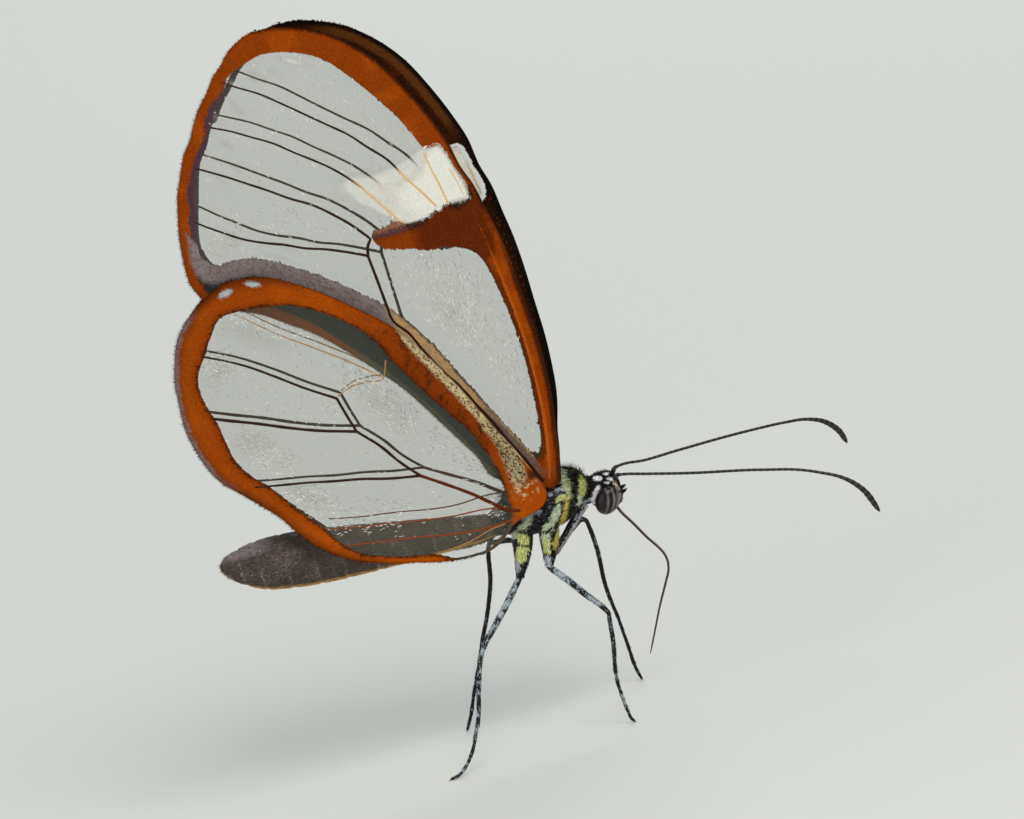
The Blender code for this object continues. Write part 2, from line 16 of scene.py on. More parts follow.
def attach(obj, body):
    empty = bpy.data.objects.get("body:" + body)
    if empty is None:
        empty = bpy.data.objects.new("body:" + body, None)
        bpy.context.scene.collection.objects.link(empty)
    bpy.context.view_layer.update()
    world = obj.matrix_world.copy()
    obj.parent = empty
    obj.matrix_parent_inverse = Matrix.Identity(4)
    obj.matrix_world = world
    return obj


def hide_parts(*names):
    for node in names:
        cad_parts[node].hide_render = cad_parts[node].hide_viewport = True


bl_info = {
    "name": "Glasswing butterfly",
    "version": (1, 0, 0),
    "blender": (4, 5, 0),
    "location": "View3D > Sidebar > Butterfly",
    "description": "Dresses the butterfly's frame with wings, scales, hair and a studio",
    "category": "Object",
}

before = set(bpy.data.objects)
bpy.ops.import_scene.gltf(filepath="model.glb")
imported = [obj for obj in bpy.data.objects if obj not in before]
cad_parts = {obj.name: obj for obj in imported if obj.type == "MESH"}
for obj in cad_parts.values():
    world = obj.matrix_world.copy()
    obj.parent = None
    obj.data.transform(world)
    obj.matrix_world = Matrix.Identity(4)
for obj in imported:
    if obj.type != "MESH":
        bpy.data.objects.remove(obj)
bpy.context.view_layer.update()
MM = 0.001
SEED = 12
ROOT_BODY = "root"
COAT_MAP = "OFBake"
TUFT_PATCH = 0.003
FIELD_STEP = 0.1
FIELD_MARGIN = 0.6
# Unwraps keep this far from their square's edges; a wing's two faces lie side by side on one
UNWRAP_EDGE = 0.02
UNWRAP_SPAN = 0.96
WING_UNWRAP_SPAN = 0.46

# Wings: their middle sheets, as the frame has them
WING_ROOT = np.array((0.6, 13.4))
FOREWING_OFFSET = 0.55
FOREWING_ROOT_FLARE = 0.65
FOREWING_FLARE_REACH = 2.6
HINDWING_OFFSET = 1.45
HINDWING_BELLY_FLARE = 0.6
HINDWING_FLARE_TOP = 17.6
HINDWING_FLARE_BOTTOM = 13.4
LEFT_FOREWING_TURN = math.radians(2.6)
LEFT_FOREWING_DROP = 0.5
LEFT_HINDWING_STEP = (0.1, -0.35)
LEFT_STEP_START = 1.0
LEFT_STEP_FULL = 6.0

# The outlines were drawn round the bristles, which stand out of the margin by about this
WING_INSET = 0.1
FLAKE_ROOM = 0.12
# The sheet's first and last row keep this far from the outline's lowest and highest points
TIP_ROOM = 0.006
# Veins that end beyond this run on by the second number to the left wing's slimmer margin
FAR_VEIN_END = -8.5
FAR_VEIN_REACH = 0.6
# Veins stand out of the sheet by this share of their radius
VEIN_RELIEF = 0.8
FRINGE_STEP = 0.02
FRINGE_WIDTH = 0.026

# Forewing outline, up the front edge to the tip and down the margin and trailing edge
FOREWING_FRONT = (
    (0.95, 13.0), (1.4, 13.1), (1.72, 14.0), (2.08, 16.0), (2.33, 17.4), (2.5, 19.3), (2.55, 21.6),
    (2.48, 23.0), (2.34, 25.7), (2.18, 27.1), (1.92, 28.5), (1.63, 30.1), (1.28, 31.15), (0.95, 32.9),
    (0.6, 33.9), (-0.32, 36.06), (-1.4, 38.0), (-2.67, 39.47), (-3.98, 40.5), (-5.27, 41.08), (-6.5, 41.42),
    (-7.2, 41.45),
)
FOREWING_BACK = (
    (-7.2, 41.45), (-8.0, 41.28), (-8.5, 41.05), (-9.0, 40.75), (-9.6, 40.15), (-10.2, 39.65),
    (-10.75, 38.95), (-11.3, 38.35), (-11.85, 37.6), (-12.35, 36.7), (-12.85, 36.1), (-13.4, 35.0),
    (-13.85, 34.0), (-14.15, 32.95), (-14.35, 32.15), (-14.5, 31.2), (-14.6, 30.1), (-14.58, 29.1),
    (-14.35, 28.5), (-14.2, 28.15), (-13.5, 27.7), (-12.5, 27.05), (-11.35, 26.46), (-10.2, 25.6),
    (-9.0, 24.7), (-8.1, 23.8), (-7.2, 22.8), (-6.2, 21.6), (-5.2, 20.3), (-4.3, 18.8), (-3.4, 17.2),
    (-2.5, 15.6), (-2.05, 14.5), (-1.3, 13.95), (0.3, 13.3), (0.95, 13.0),
)
FOREWING_CLEAR = (
    (0.72, 14.65), (1.0, 15.1), (1.24, 16.3), (1.41, 17.7), (1.52, 19.1), (1.56, 20.9), (1.49, 22.4),
    (1.31, 24.1), (1.11, 25.4), (0.94, 26.0), (0.75, 26.35), (0.4, 26.7), (0.0, 26.95), (-0.5, 27.12),
    (-1.0, 27.25), (-1.75, 27.3), (-2.4, 27.6), (-3.0, 27.75), (-3.5, 27.9), (-4.1, 28.2), (-4.42, 28.65),
    (-4.3, 29.0), (-3.6, 29.1), (-3.2, 29.25), (-2.8, 29.2), (-2.4, 28.9), (-2.0, 28.75), (-1.5, 28.85),
    (-1.0, 29.1), (-0.5, 29.4), (0.0, 29.45), (0.3, 29.2), (0.7, 29.15), (1.2, 29.35), (1.32, 29.9),
    (1.0, 31.2), (0.75, 32.1), (0.55, 32.6), (0.1, 32.7), (-0.32, 32.6), (-0.47, 33.0), (-0.82, 33.9),
    (-1.27, 34.9), (-1.87, 35.9), (-2.52, 36.9), (-3.22, 37.9), (-4.07, 38.9), (-4.72, 39.38),
    (-5.5, 39.75), (-6.5, 40.05), (-7.3, 40.15), (-8.1, 39.95), (-9.0, 39.65), (-9.55, 39.3), (-9.92, 38.8),
    (-10.6, 38.05), (-11.05, 37.3), (-11.6, 36.2), (-12.05, 35.4), (-12.4, 34.6), (-12.65, 33.8),
    (-12.85, 33.0), (-13.1, 32.1), (-13.3, 31.2), (-13.35, 30.4), (-13.1, 29.9), (-12.8, 29.7),
    (-12.1, 29.7), (-10.8, 29.5), (-9.6, 28.9), (-8.4, 28.1), (-7.2, 27.2), (-6.1, 26.2), (-5.15, 25.35),
    (-4.4, 24.5), (-3.95, 23.9), (-3.44, 23.1), (-2.8, 21.95), (-2.26, 20.7), (-1.65, 19.4), (-1.05, 18.1),
    (-0.5, 16.9), (0.1, 15.7), (0.45, 15.0), (0.72, 14.65),
)
FOREWING_WHITE = (
    (1.35, 29.3), (1.32, 29.9), (1.02, 31.2), (0.78, 32.2), (0.55, 32.7), (-0.3, 32.7), (-1.0, 32.25),
    (-2.0, 32.0), (-3.0, 31.95), (-4.0, 32.1), (-5.1, 32.4), (-5.5, 32.0), (-4.8, 31.1), (-4.0, 30.3),
    (-3.3, 29.6), (-2.6, 29.0), (-1.4, 28.9), (0.0, 29.3), (1.35, 29.3),
)
FOREWING_BAR = (
    (-4.6, 28.9), (-4.2, 28.1), (-2.4, 27.4), (0.0, 26.8), (0.9, 25.9), (1.5, 26.0), (1.75, 28.0),
    (1.55, 29.6), (0.8, 29.4), (-0.3, 29.6), (-1.5, 29.1), (-2.6, 29.4), (-3.6, 29.3), (-4.6, 28.9),
)
FOREWING_TRAIL = ((-13.5, 27.7), (-11.35, 26.46), (-8.1, 23.8), (-5.2, 20.3), (-3.4, 17.2), (-2.05, 14.5))
# Pale veils on the clear sheet as (x, z, half length, half width, turn in degrees, strength)
FOREWING_VEILS = (
    (-5.7, 39.3, 1.1, 0.26, 152.0, 0.9), (-9.0, 38.95, 0.8, 0.3, 140.0, 0.6),
    (-10.5, 37.5, 0.8, 0.3, 120.0, 0.45), (-11.5, 35.7, 0.7, 0.25, 128.0, 0.6),
    (-11.4, 34.4, 1.0, 0.16, 128.0, 0.4), (-12.5, 30.6, 0.75, 0.5, 130.0, 0.6),
    (-4.4, 31.6, 1.3, 0.7, 122.0, 0.5), (-1.8, 24.0, 2.4, 1.2, 100.0, 0.10),
    (-8.0, 38.9, 0.8, 0.3, 135.0, 0.25), (-9.6, 29.3, 1.5, 0.2, 145.0, 0.25),
)

# Hindwing outline, up the front edge and down the margin
HINDWING_FRONT = (
    (-4.0, 10.8), (-3.4, 10.78), (-2.75, 10.95), (-2.25, 11.25), (-1.65, 11.75), (-1.15, 12.0),
    (-0.7, 12.1), (-0.2, 12.2), (0.2, 12.35), (0.5, 12.65), (0.65, 13.1), (0.55, 13.6), (0.2, 14.5),
    (-0.1, 15.2), (-1.1, 17.3), (-2.22, 19.8), (-3.28, 21.8), (-4.25, 23.4), (-5.0, 24.35), (-6.0, 25.3),
    (-7.2, 26.4), (-8.7, 27.55), (-10.2, 28.45), (-11.65, 28.85), (-12.3, 28.9),
)
HINDWING_BACK = (
    (-12.3, 28.9), (-12.8, 28.85), (-13.85, 28.4), (-14.6, 28.0), (-15.1, 27.6), (-15.7, 27.1),
    (-16.2, 26.4), (-16.6, 25.4), (-16.9, 24.35), (-17.0, 23.2), (-17.1, 22.0), (-16.95, 20.8),
    (-16.65, 19.65), (-16.1, 18.5), (-15.3, 17.6), (-14.4, 16.65), (-13.55, 15.7), (-13.0, 14.85),
    (-12.4, 14.06), (-11.5, 13.2), (-10.5, 12.5), (-9.3, 12.0), (-8.1, 11.6), (-6.9, 11.3), (-5.8, 11.0),
    (-4.6, 10.83), (-4.0, 10.8),
)
HINDWING_CLEAR = (
    (-1.55, 12.75), (-1.4, 13.5), (-1.5, 14.8), (-1.9, 16.1), (-2.4, 17.3), (-3.1, 18.5), (-4.0, 19.9),
    (-4.65, 21.1), (-5.3, 22.3), (-5.75, 23.4), (-6.4, 24.3), (-7.5, 25.35), (-8.7, 26.2), (-9.9, 26.8),
    (-10.9, 27.0), (-12.5, 27.2), (-13.4, 27.15), (-14.2, 26.3), (-14.8, 25.4), (-15.45, 24.5),
    (-15.65, 23.6), (-15.5, 22.6), (-15.25, 21.7), (-15.1, 20.5), (-14.9, 19.35), (-14.3, 18.3),
    (-13.56, 17.5), (-12.8, 16.4), (-11.95, 15.3), (-11.2, 14.3), (-10.6, 13.4), (-9.9, 12.75),
    (-8.7, 12.2), (-7.2, 11.75), (-5.8, 11.5), (-4.4, 11.3), (-3.2, 11.35), (-2.5, 11.75), (-2.0, 12.2),
    (-1.55, 12.75),
)
HINDWING_PALE = (
    (-4.45, 23.7), (-4.2, 22.8), (-3.6, 21.6), (-3.0, 20.4), (-2.4, 19.2), (-1.9, 18.2), (-1.5, 17.2),
    (-1.2, 16.2), (-1.05, 15.2), (-0.95, 14.4), (-0.85, 13.8), (-0.3, 13.75), (-0.15, 14.3), (-0.2, 15.1),
    (-1.2, 17.3), (-2.2, 19.7), (-3.2, 21.8), (-4.2, 23.3), (-4.45, 23.7),
)
HINDWING_SPOTS = ((-12.75, 28.3, 0.48, 0.2, 12.0), (-11.2, 28.38, 0.5, 0.17, -22.0))
HINDWING_VEILS = (
    (-12.2, 25.6, 2.6, 0.75, 143.0, 0.3), (-14.7, 24.0, 0.7, 0.9, 90.0, 0.35),
    (-13.9, 19.9, 0.8, 1.5, 65.0, 0.35), (-12.2, 16.3, 1.6, 0.5, 140.0, 0.4),
    (-6.3, 19.6, 3.0, 1.1, 122.0, 0.22), (-8.7, 24.0, 2.6, 0.3, 140.0, 0.3),
    (-2.3, 12.75, 0.7, 0.4, 150.0, 0.5),
)

# Where the clear sheets are hairy, as the veils are given
FOREWING_HAIRY = (
    (-1.4, 24.0, 3.2, 1.8, 112.0, 0.75), (0.2, 20.5, 3.0, 1.0, 100.0, 0.3),
    (-2.6, 26.6, 1.2, 0.9, 90.0, 0.4), (-8.0, 30.5, 4.5, 0.6, 160.0, 0.15),
    (-12.4, 31.0, 1.0, 0.8, 120.0, 0.4),
)
HINDWING_HAIRY = (
    (-10.5, 25.9, 3.0, 0.9, 155.0, 0.85), (-14.6, 24.6, 0.9, 1.5, 70.0, 0.9),
    (-14.0, 20.3, 0.9, 1.3, 60.0, 0.7), (-13.0, 18.7, 1.6, 0.9, 140.0, 0.9),
    (-11.6, 16.0, 1.9, 0.9, 140.0, 0.85), (-6.6, 20.4, 3.6, 1.2, 124.0, 0.8),
    (-7.4, 22.9, 2.2, 0.7, 130.0, 0.7), (-9.0, 14.2, 2.6, 0.8, 170.0, 0.5),
    (-3.6, 16.2, 2.6, 0.8, 118.0, 0.45), (-2.2, 12.9, 0.8, 0.5, 150.0, 0.9),
    (-11.0, 21.0, 3.0, 1.4, 160.0, 0.12),
)

# Veins as (colour, radius at the root, radius at the end, line)
FOREWING_VEINS = (
    ("vein", 0.11, 0.075, (
        (0.6, 13.5), (0.0, 14.9), (-0.55, 16.0), (-1.1, 17.3), (-1.7, 18.5), (-2.2, 19.6), (-2.8, 20.6),
        (-3.5, 22.0), (-4.0, 23.2), (-4.65, 24.2), (-4.72, 25.0), (-4.8, 26.4), (-4.9, 27.9))),
    ("vein", 0.08, 0.08, ((-4.5, 28.8), (-4.75, 28.45), (-4.9, 27.9))),
    ("vein", 0.07, 0.05, (
        (-0.6, 29.5), (-1.1, 30.4), (-1.75, 31.5), (-2.4, 32.7), (-3.25, 33.7), (-4.0, 34.6), (-5.0, 35.5),
        (-6.0, 36.4), (-7.0, 37.3), (-8.0, 38.15), (-9.0, 38.8), (-9.7, 39.3))),
    ("vein", 0.07, 0.05, (
        (-2.2, 28.6), (-2.9, 29.6), (-3.5, 30.6), (-4.25, 31.75), (-5.25, 32.95), (-6.25, 33.85),
        (-7.0, 34.45), (-8.0, 35.3), (-9.0, 35.95), (-10.0, 36.6), (-11.06, 37.15))),
    ("vein", 0.08, 0.055, (
        (-4.5, 28.8), (-5.25, 29.8), (-6.0, 30.6), (-7.0, 31.5), (-8.0, 32.15), (-9.0, 32.9), (-10.0, 33.6),
        (-11.0, 34.3), (-12.0, 34.95), (-12.4, 35.2))),
    ("vein", 0.08, 0.055, (
        (-4.9, 27.95), (-6.0, 28.5), (-7.0, 28.95), (-8.0, 29.3), (-9.0, 29.8), (-10.0, 30.2),
        (-11.0, 30.7), (-12.0, 31.4), (-13.0, 32.15), (-13.3, 32.4))),
    ("bright", 0.075, 0.04, (
        (0.95, 13.5), (1.17, 14.3), (1.42, 15.5), (1.62, 16.8), (1.75, 18.2), (1.83, 20.0), (1.83, 21.5),
        (1.76, 23.0), (1.6, 25.0), (1.42, 26.8), (1.2, 28.6))),
    ("pale_vein", 0.07, 0.06, ((0.05, 29.4), (-0.1, 30.5), (-0.3, 31.6), (-0.42, 32.5))),
    ("pale_vein", 0.05, 0.05, ((0.98, 29.7), (0.86, 30.4), (0.66, 31.3))),
    ("pale_vein", 0.04, 0.035, ((-2.16, 29.25), (-2.7, 30.3), (-3.24, 31.4))),
)
HINDWING_VEINS = (
    ("vein", 0.075, 0.06, (
        (-8.7, 21.1), (-10.2, 22.15), (-11.65, 23.3), (-13.1, 24.35), (-14.8, 25.3), (-15.0, 25.4))),
    ("vein", 0.085, 0.085, (
        (-8.2, 19.05), (-10.2, 19.7), (-11.65, 20.3), (-13.1, 20.97), (-14.6, 21.6), (-15.4, 21.95))),
    ("vein", 0.08, 0.06, (
        (-5.6, 15.8), (-7.2, 16.1), (-8.7, 16.5), (-10.2, 16.8), (-11.65, 17.15), (-13.4, 17.5),
        (-14.3, 17.7))),
    ("vein", 0.075, 0.075, ((-8.7, 21.1), (-8.45, 20.0), (-8.2, 19.05))),
    ("vein", 0.08, 0.08, ((-8.2, 19.05), (-7.2, 17.9), (-6.5, 16.85), (-5.6, 15.8))),
    ("rusty", 0.08, 0.1, (
        (-5.6, 15.8), (-4.3, 14.9), (-3.1, 14.0), (-2.2, 13.2), (-1.5, 12.65), (-1.0, 12.5))),
    ("gold", 0.03, 0.035, ((-12.6, 27.1), (-10.8, 25.45), (-9.0, 24.06), (-7.2, 22.6), (-6.0, 21.5))),
    ("gold", 0.035, 0.04, (
        (-8.6, 21.2), (-7.8, 21.5), (-6.9, 21.5), (-6.0, 21.45), (-5.75, 21.9), (-5.6, 22.35))),
    ("orange", 0.035, 0.045, (
        (-11.3, 14.5), (-9.6, 14.1), (-7.8, 13.8), (-5.8, 13.4), (-4.3, 13.2), (-2.8, 13.1),
        (-1.6, 12.85))),
    ("orange", 0.04, 0.05, (
        (-10.9, 13.4), (-8.7, 13.0), (-6.9, 12.7), (-5.0, 12.3), (-3.6, 12.1), (-1.9, 12.1), (-1.1, 12.2))),
    ("gold", 0.03, 0.035, ((-6.0, 11.42), (-3.9, 11.65), (-2.7, 11.95), (-2.0, 12.0))),
)


def linear(red, green, blue):
    """A colour given in 8-bit display values, as linear light."""
    parts = [value / 255.0 for value in (red, green, blue)]
    return tuple(p / 12.92 if p <= 0.04045 else ((p + 0.055) / 1.055) ** 2.4 for p in parts)


def colour_prop(name, description, red, green, blue):
    """A colour property with its default in 8-bit display values."""
    return FloatVectorProperty(name=name, description=description, subtype="COLOR", size=3,
                               min=0.0, max=1.0, default=linear(red, green, blue))


def length_prop(name, description, millimetres):
    """A length property with its default in millimetres."""
    return FloatProperty(name=name, description=description, subtype="DISTANCE", unit="LENGTH",
                         precision=6, min=0.0, default=millimetres * MM)


def angle_prop(name, description, degrees):
    """An angle property with its default in degrees."""
    return FloatProperty(name=name, description=description, subtype="ANGLE", unit="ROTATION",
                         default=math.radians(degrees))


class WingSettings(bpy.types.PropertyGroup):
    """Sizes and colours of the wings."""

    half_thickness: length_prop("Half thickness", "Half of the clear sheet's thickness", 0.03)
    row_step: length_prop("Row step", "Distance between the rows of a wing's surface", 0.13)
    flake_step: length_prop("Flake spacing", "Distance between neighbouring scales", 0.062)
    flake_length: length_prop("Flake length", "Length of a scale on the coloured bands", 0.13)
    flake_width: length_prop("Flake width", "Width of a scale on the coloured bands", 0.065)
    fringe_length: length_prop("Fringe length", "Length of the bristles on the margins", 0.24)
    sliver_density: FloatProperty(
        name="Slivers", description="Fine hairs to a square millimetre of clear sheet",
        min=0.0, max=90.0, default=40.0)
    film: colour_prop("Film", "The clear sheet", 122, 124, 106)
    film_cover: FloatProperty(name="Film cover", description="How much the clear sheet hides",
                              subtype="FACTOR", min=0.0, max=1.0, default=0.1)
    orange: colour_prop("Orange", "The coloured bands", 144, 60, 3)
    bright: colour_prop("Bright orange", "The front vein and the wing bases", 188, 86, 8)
    rusty: colour_prop("Rusty brown", "The bar across the forewing", 92, 34, 4)
    # Umber is a painted sheen down the middle of the far forewing's front band towards the tip
    umber_sheen: colour_prop("Umber", "The middle of the far forewing's edge", 98, 58, 20)
    brown: colour_prop("Brown", "The bands' edges and the inner faces", 38, 20, 10)
    pink: colour_prop("Pink", "The upper left end of the forewing's bar", 172, 122, 98)
    black: colour_prop("Black", "The front edge of the inner faces", 12, 10, 9)
    purple: colour_prop("Purple brown", "The inner edge of the forewing's margin", 78, 56, 66)
    lilac: colour_prop("Lilac grey", "The forewing's trailing band", 138, 126, 124)
    slate: colour_prop("Slate", "The forewing where the hindwing covers it", 44, 50, 48)
    dun: colour_prop("Dun", "The forewing beside its trailing edge", 92, 84, 64)
    tan: colour_prop("Tan", "The band beside the forewing's stem", 208, 168, 112)
    cream: colour_prop("Cream", "The pale scales on the hindwing's front edge", 218, 202, 152)
    white: colour_prop("White", "The patch near the forewing's tip", 234, 232, 222)
    spot: colour_prop("Spot", "The two pale spots on the hindwing", 176, 194, 196)
    pale_vein: colour_prop("Pale vein", "Veins that cross the white patch", 236, 190, 128)
    gold: colour_prop("Gold", "Thin golden veins of the hindwing", 188, 136, 66)
    vein: colour_prop("Vein", "Veins on the clear sheet", 50, 28, 18)


def ease(low, high, value):
    """0 below low, 1 above high and an S curve between: t squared times (3 - 2 t)."""
    t = np.clip((value - low) / (high - low), 0.0, 1.0)
    return t * t * (3.0 - 2.0 * t)


def unit(vectors):
    """Vectors scaled to length 1."""
    return vectors / np.maximum(np.linalg.norm(vectors, axis=-1, keepdims=True), 1e-12)


def smooth_line(points, step):
    """Points a step apart on a cubic through the given ones, whose slope at each is its parabola's."""
    knots = np.asarray(points, float)
    spans = np.linalg.norm(np.diff(knots, axis=0), axis=1)
    rates = np.diff(knots, axis=0) / spans[:, None]
    middle = (rates[:-1] * spans[1:, None] + rates[1:] * spans[:-1, None]) / (spans[:-1] + spans[1:])[:, None]
    slopes = np.vstack((rates[:1], middle, rates[-1:]))
    places = np.concatenate(([0.0], np.cumsum(spans)))
    at = np.linspace(0.0, places[-1], max(2, int(round(places[-1] / step)) + 1))
    i = np.clip(np.searchsorted(places, at, side="right") - 1, 0, len(spans) - 1)
    t = ((at - places[i]) / spans[i])[:, None]
    s = spans[i][:, None]
    return (knots[i] * (2 * t ** 3 - 3 * t ** 2 + 1) + slopes[i] * s * (t ** 3 - 2 * t ** 2 + t)
            + knots[i + 1] * (3 * t ** 2 - 2 * t ** 3) + slopes[i + 1] * s * (t ** 3 - t ** 2))


def line_distance(points, line):
    """Distance of each point from a line of straight pieces: the least over the pieces."""
    best = np.full(len(points), np.inf)
    for a, b in zip(line[:-1], line[1:]):
        along = b - a
        share = np.clip(((points - a) @ along) / max(along @ along, 1e-12), 0.0, 1.0)
        off = points - a - share[:, None] * along
        np.minimum(best, (off * off).sum(1), out=best)
    return np.sqrt(best)


def inside_distance(points, outline):
    """Distance inside a closed outline, negative outside it, by how often a ray to +x crosses it."""
    inside = np.zeros(len(points), bool)
    for a, b in zip(outline[:-1], outline[1:]):
        spans = (a[1] > points[:, 1]) != (b[1] > points[:, 1])
        rise = b[1] - a[1] if b[1] != a[1] else 1e-12
        inside ^= spans & (points[:, 0] < a[0] + (points[:, 1] - a[1]) * (b[0] - a[0]) / rise)
    return np.where(inside, 1.0, -1.0) * line_distance(points, outline)


class Field:
    """A rule worked out once on a square grid over a box, then read between the grid's points."""

    def __init__(self, low, high, rule):
        self.low = np.asarray(low) - FIELD_MARGIN
        self.shape = np.ceil((np.asarray(high) + FIELD_MARGIN - self.low) / FIELD_STEP).astype(int) + 1
        cells = np.indices(self.shape).reshape(2, -1).T
        self.values = rule(self.low + cells * FIELD_STEP)

    def __call__(self, points):
        place = np.clip((points - self.low) / FIELD_STEP, 0.0, self.shape - 1.001)
        cell = place.astype(int)
        part = place - cell
        first = cell[:, 0] * self.shape[1] + cell[:, 1]
        near = self.values[first] * (1.0 - part[:, 1]) + self.values[first + 1] * part[:, 1]
        after = first + self.shape[1]
        far = self.values[after] * (1.0 - part[:, 1]) + self.values[after + 1] * part[:, 1]
        return near * (1.0 - part[:, 0]) + far * part[:, 0]


def blot(points, blots, core=0.55):
    """Soft oval blots: the strongest of them at each point, 1 within their core and 0 at a rim."""
    best = np.zeros(len(points))
    for x, z, long_half, short_half, turn, *strength in blots:
        angle = math.radians(turn)
        off = points - (x, z)
        along = (off[:, 0] * math.cos(angle) + off[:, 1] * math.sin(angle)) / long_half
        across = (off[:, 1] * math.cos(angle) - off[:, 0] * math.sin(angle)) / short_half
        level = 1.0 - ease(core, 1.1, np.hypot(along, across))
        best = np.maximum(best, level * (strength[0] if strength else 1.0))
    return best


def speckle(points, size, seed=0):
    """Smooth noise from -1 to 1: lattice values from a sine hash, blended by an S curve."""
    grid = np.floor(points / size)
    part = points / size - grid
    part = part * part * (3.0 - 2.0 * part)
    total = np.zeros(len(points))
    for corner in np.ndindex(*(2,) * points.shape[1]):
        cell = grid + corner
        mixed = cell @ np.array((12.9898, 78.233, 37.719)[:points.shape[1]]) + seed * 3.137
        value = np.sin(mixed) * 43758.5453
        weight = np.prod(np.where(np.array(corner) == 1, part, 1.0 - part), axis=1)
        total += weight * (2.0 * (value - np.floor(value)) - 1.0)
    return total


def forewing_plane(x, z):
    """Distance of the forewing's middle sheet from the middle plane: it flares towards its root."""
    reach = np.hypot(x - WING_ROOT[0], z - WING_ROOT[1])
    return FOREWING_OFFSET + FOREWING_ROOT_FLARE * np.exp(-(reach / FOREWING_FLARE_REACH) ** 2)


def hindwing_plane(x, z):
    """Distance of the hindwing's middle sheet, which flares out past the abdomen."""
    return HINDWING_OFFSET + HINDWING_BELLY_FLARE * (1.0 - ease(HINDWING_FLARE_BOTTOM, HINDWING_FLARE_TOP, z))


def wing_place(wing, side, points, height):
    """Wing space to the butterfly's space: the left wing is turned and moved, but not at its root."""
    x, z = points.T
    y = wing["plane"](x, z) + height
    if side > 0:
        dx = x - WING_ROOT[0]
        dz = z - WING_ROOT[1]
        share = ease(LEFT_STEP_START, LEFT_STEP_FULL, np.hypot(dx, dz))
        turn = wing["turn"]
        moved_x = WING_ROOT[0] + dx * math.cos(turn) + dz * math.sin(turn) + wing["step"][0]
        moved_z = WING_ROOT[1] + dz * math.cos(turn) - dx * math.sin(turn) + wing["step"][1]
        swell = wing["swell"] * ease(24.0, 34.0, z) * ease(-7.0, -1.0, x)
        x = x + share * (moved_x - x) + 0.85 * swell
        z = z + share * (moved_z - z) + 0.5 * swell
    return np.column_stack((x, side * y, z))


def even_paint(points, colour):
    """The same colour for every point."""
    return np.tile(np.asarray(colour), (len(points), 1))


def mix_paint(paint, *layers):
    """Paint mixed towards the colour of each (share, colour) layer in turn, by its share at a point."""
    for share, colour in layers:
        paint = paint + np.reshape(share, (-1, 1)) * (np.asarray(colour) - paint)
    return paint


def ragged(window, points, draw, seed):
    """The distance inside a clear area, its edge wavering and broken scale by scale by draw."""
    return window + 0.05 * speckle(points, 0.12, seed) + 0.03 * draw


def forewing_window(points, side):
    """Distance inside the forewing's clear area, whose margin band is slimmer on the left wing.

    The bar's edges are bristly: their distance wavers quickly along x.
    """
    x, z = points.T
    bristly = ease(26.3, 27.0, z) * ease(29.8, 29.3, z) * ease(1.2, 0.6, x) * ease(-5.2, -4.6, x)
    waver = speckle(np.column_stack((2.5 * x, 0.6 * z)), 0.16, 33)
    clear = FOREWING["clear"](points) + 0.09 * bristly * waver
    margin = ease(-8.6, -9.6, x) * ease(29.8, 30.6, z)
    below_bar = ease(1.2, -1.0, x) * ease(26.5, 25.0, z)
    trailing = np.maximum(ease(-2.0, -5.0, x) * ease(31.0, 30.0, z), below_bar) * (1.0 - margin)
    if side > 0:
        tip = ease(-6.2, -7.6, x) * ease(38.0, 39.0, z)
        wide = clear + 0.85 * np.maximum(margin, tip) + 0.8 * trailing
        return np.where(z > 37.0, np.minimum(wide, FOREWING["edge"](points) - 0.3), wide)
    return clear + (0.16 - 0.32 * ease(34.5, 36.5, z)) * margin * ease(39.6, 38.8, z)


def hindwing_window(points, side):
    """Distance inside the hindwing's clear area, whose margin band is slimmer on the left wing."""
    x, z = points.T
    margin = ease(-9.0, -11.0, x) * ease(28.5, 27.0, z)
    below = ease(-6.4, -4.8, x) * ease(13.4, 12.6, z) * ease(-0.9, -1.7, x)
    return HINDWING["clear"](points) + 0.42 * below + (0.42 * margin if side > 0 else 0.0)


def trailing_band_paint(settings, points, out, draw):
    """Colour of the forewing's trailing band: lilac grey, tan by the stem and dun at its edge."""
    x, z = points.T
    near_root = ease(19.0, 16.5, z)
    tan_share = ease(-5.1, -4.2, x) * (1.0 - 0.8 * near_root)
    dotted = ease(0.13, 0.05, out + 0.06 * speckle(points, 0.1, 16)) * ease(-5.0, -3.6, x)
    dun = mix_paint(even_paint(points, settings.dun), (0.75 * ease(-6.3, -7.6, x), settings.orange))
    wide = 0.25 * ease(-7.0, -9.0, x)
    return mix_paint(
        even_paint(points, settings.lilac),
        (0.45 * ease(0.05, 0.5, draw + 0.6 * speckle(points, 0.2, 4)), settings.rusty),
        (tan_share * ease(-1.5, 0.1, draw + 0.7 * speckle(points, 0.14, 17)), settings.tan),
        (0.45 * near_root * ease(-0.5, 0.1, out) * ease(-3.0, -2.0, x), settings.brown),
        (0.85 * dotted * (1.0 - near_root), settings.purple),
        (0.7 * ease(0.11, 0.03, out) * near_root, settings.tan),
        (ease(0.75, 0.6, z / 20.0) * ease(0.72, 0.9, draw), settings.cream),
        (ease(0.75, 1.15, out + 0.1 * speckle(points, 0.4, 9)), settings.slate),
        (0.9 * ease(0.38 + wide, 0.26 + wide, FOREWING["trail"](points) + 0.04 * draw), dun))


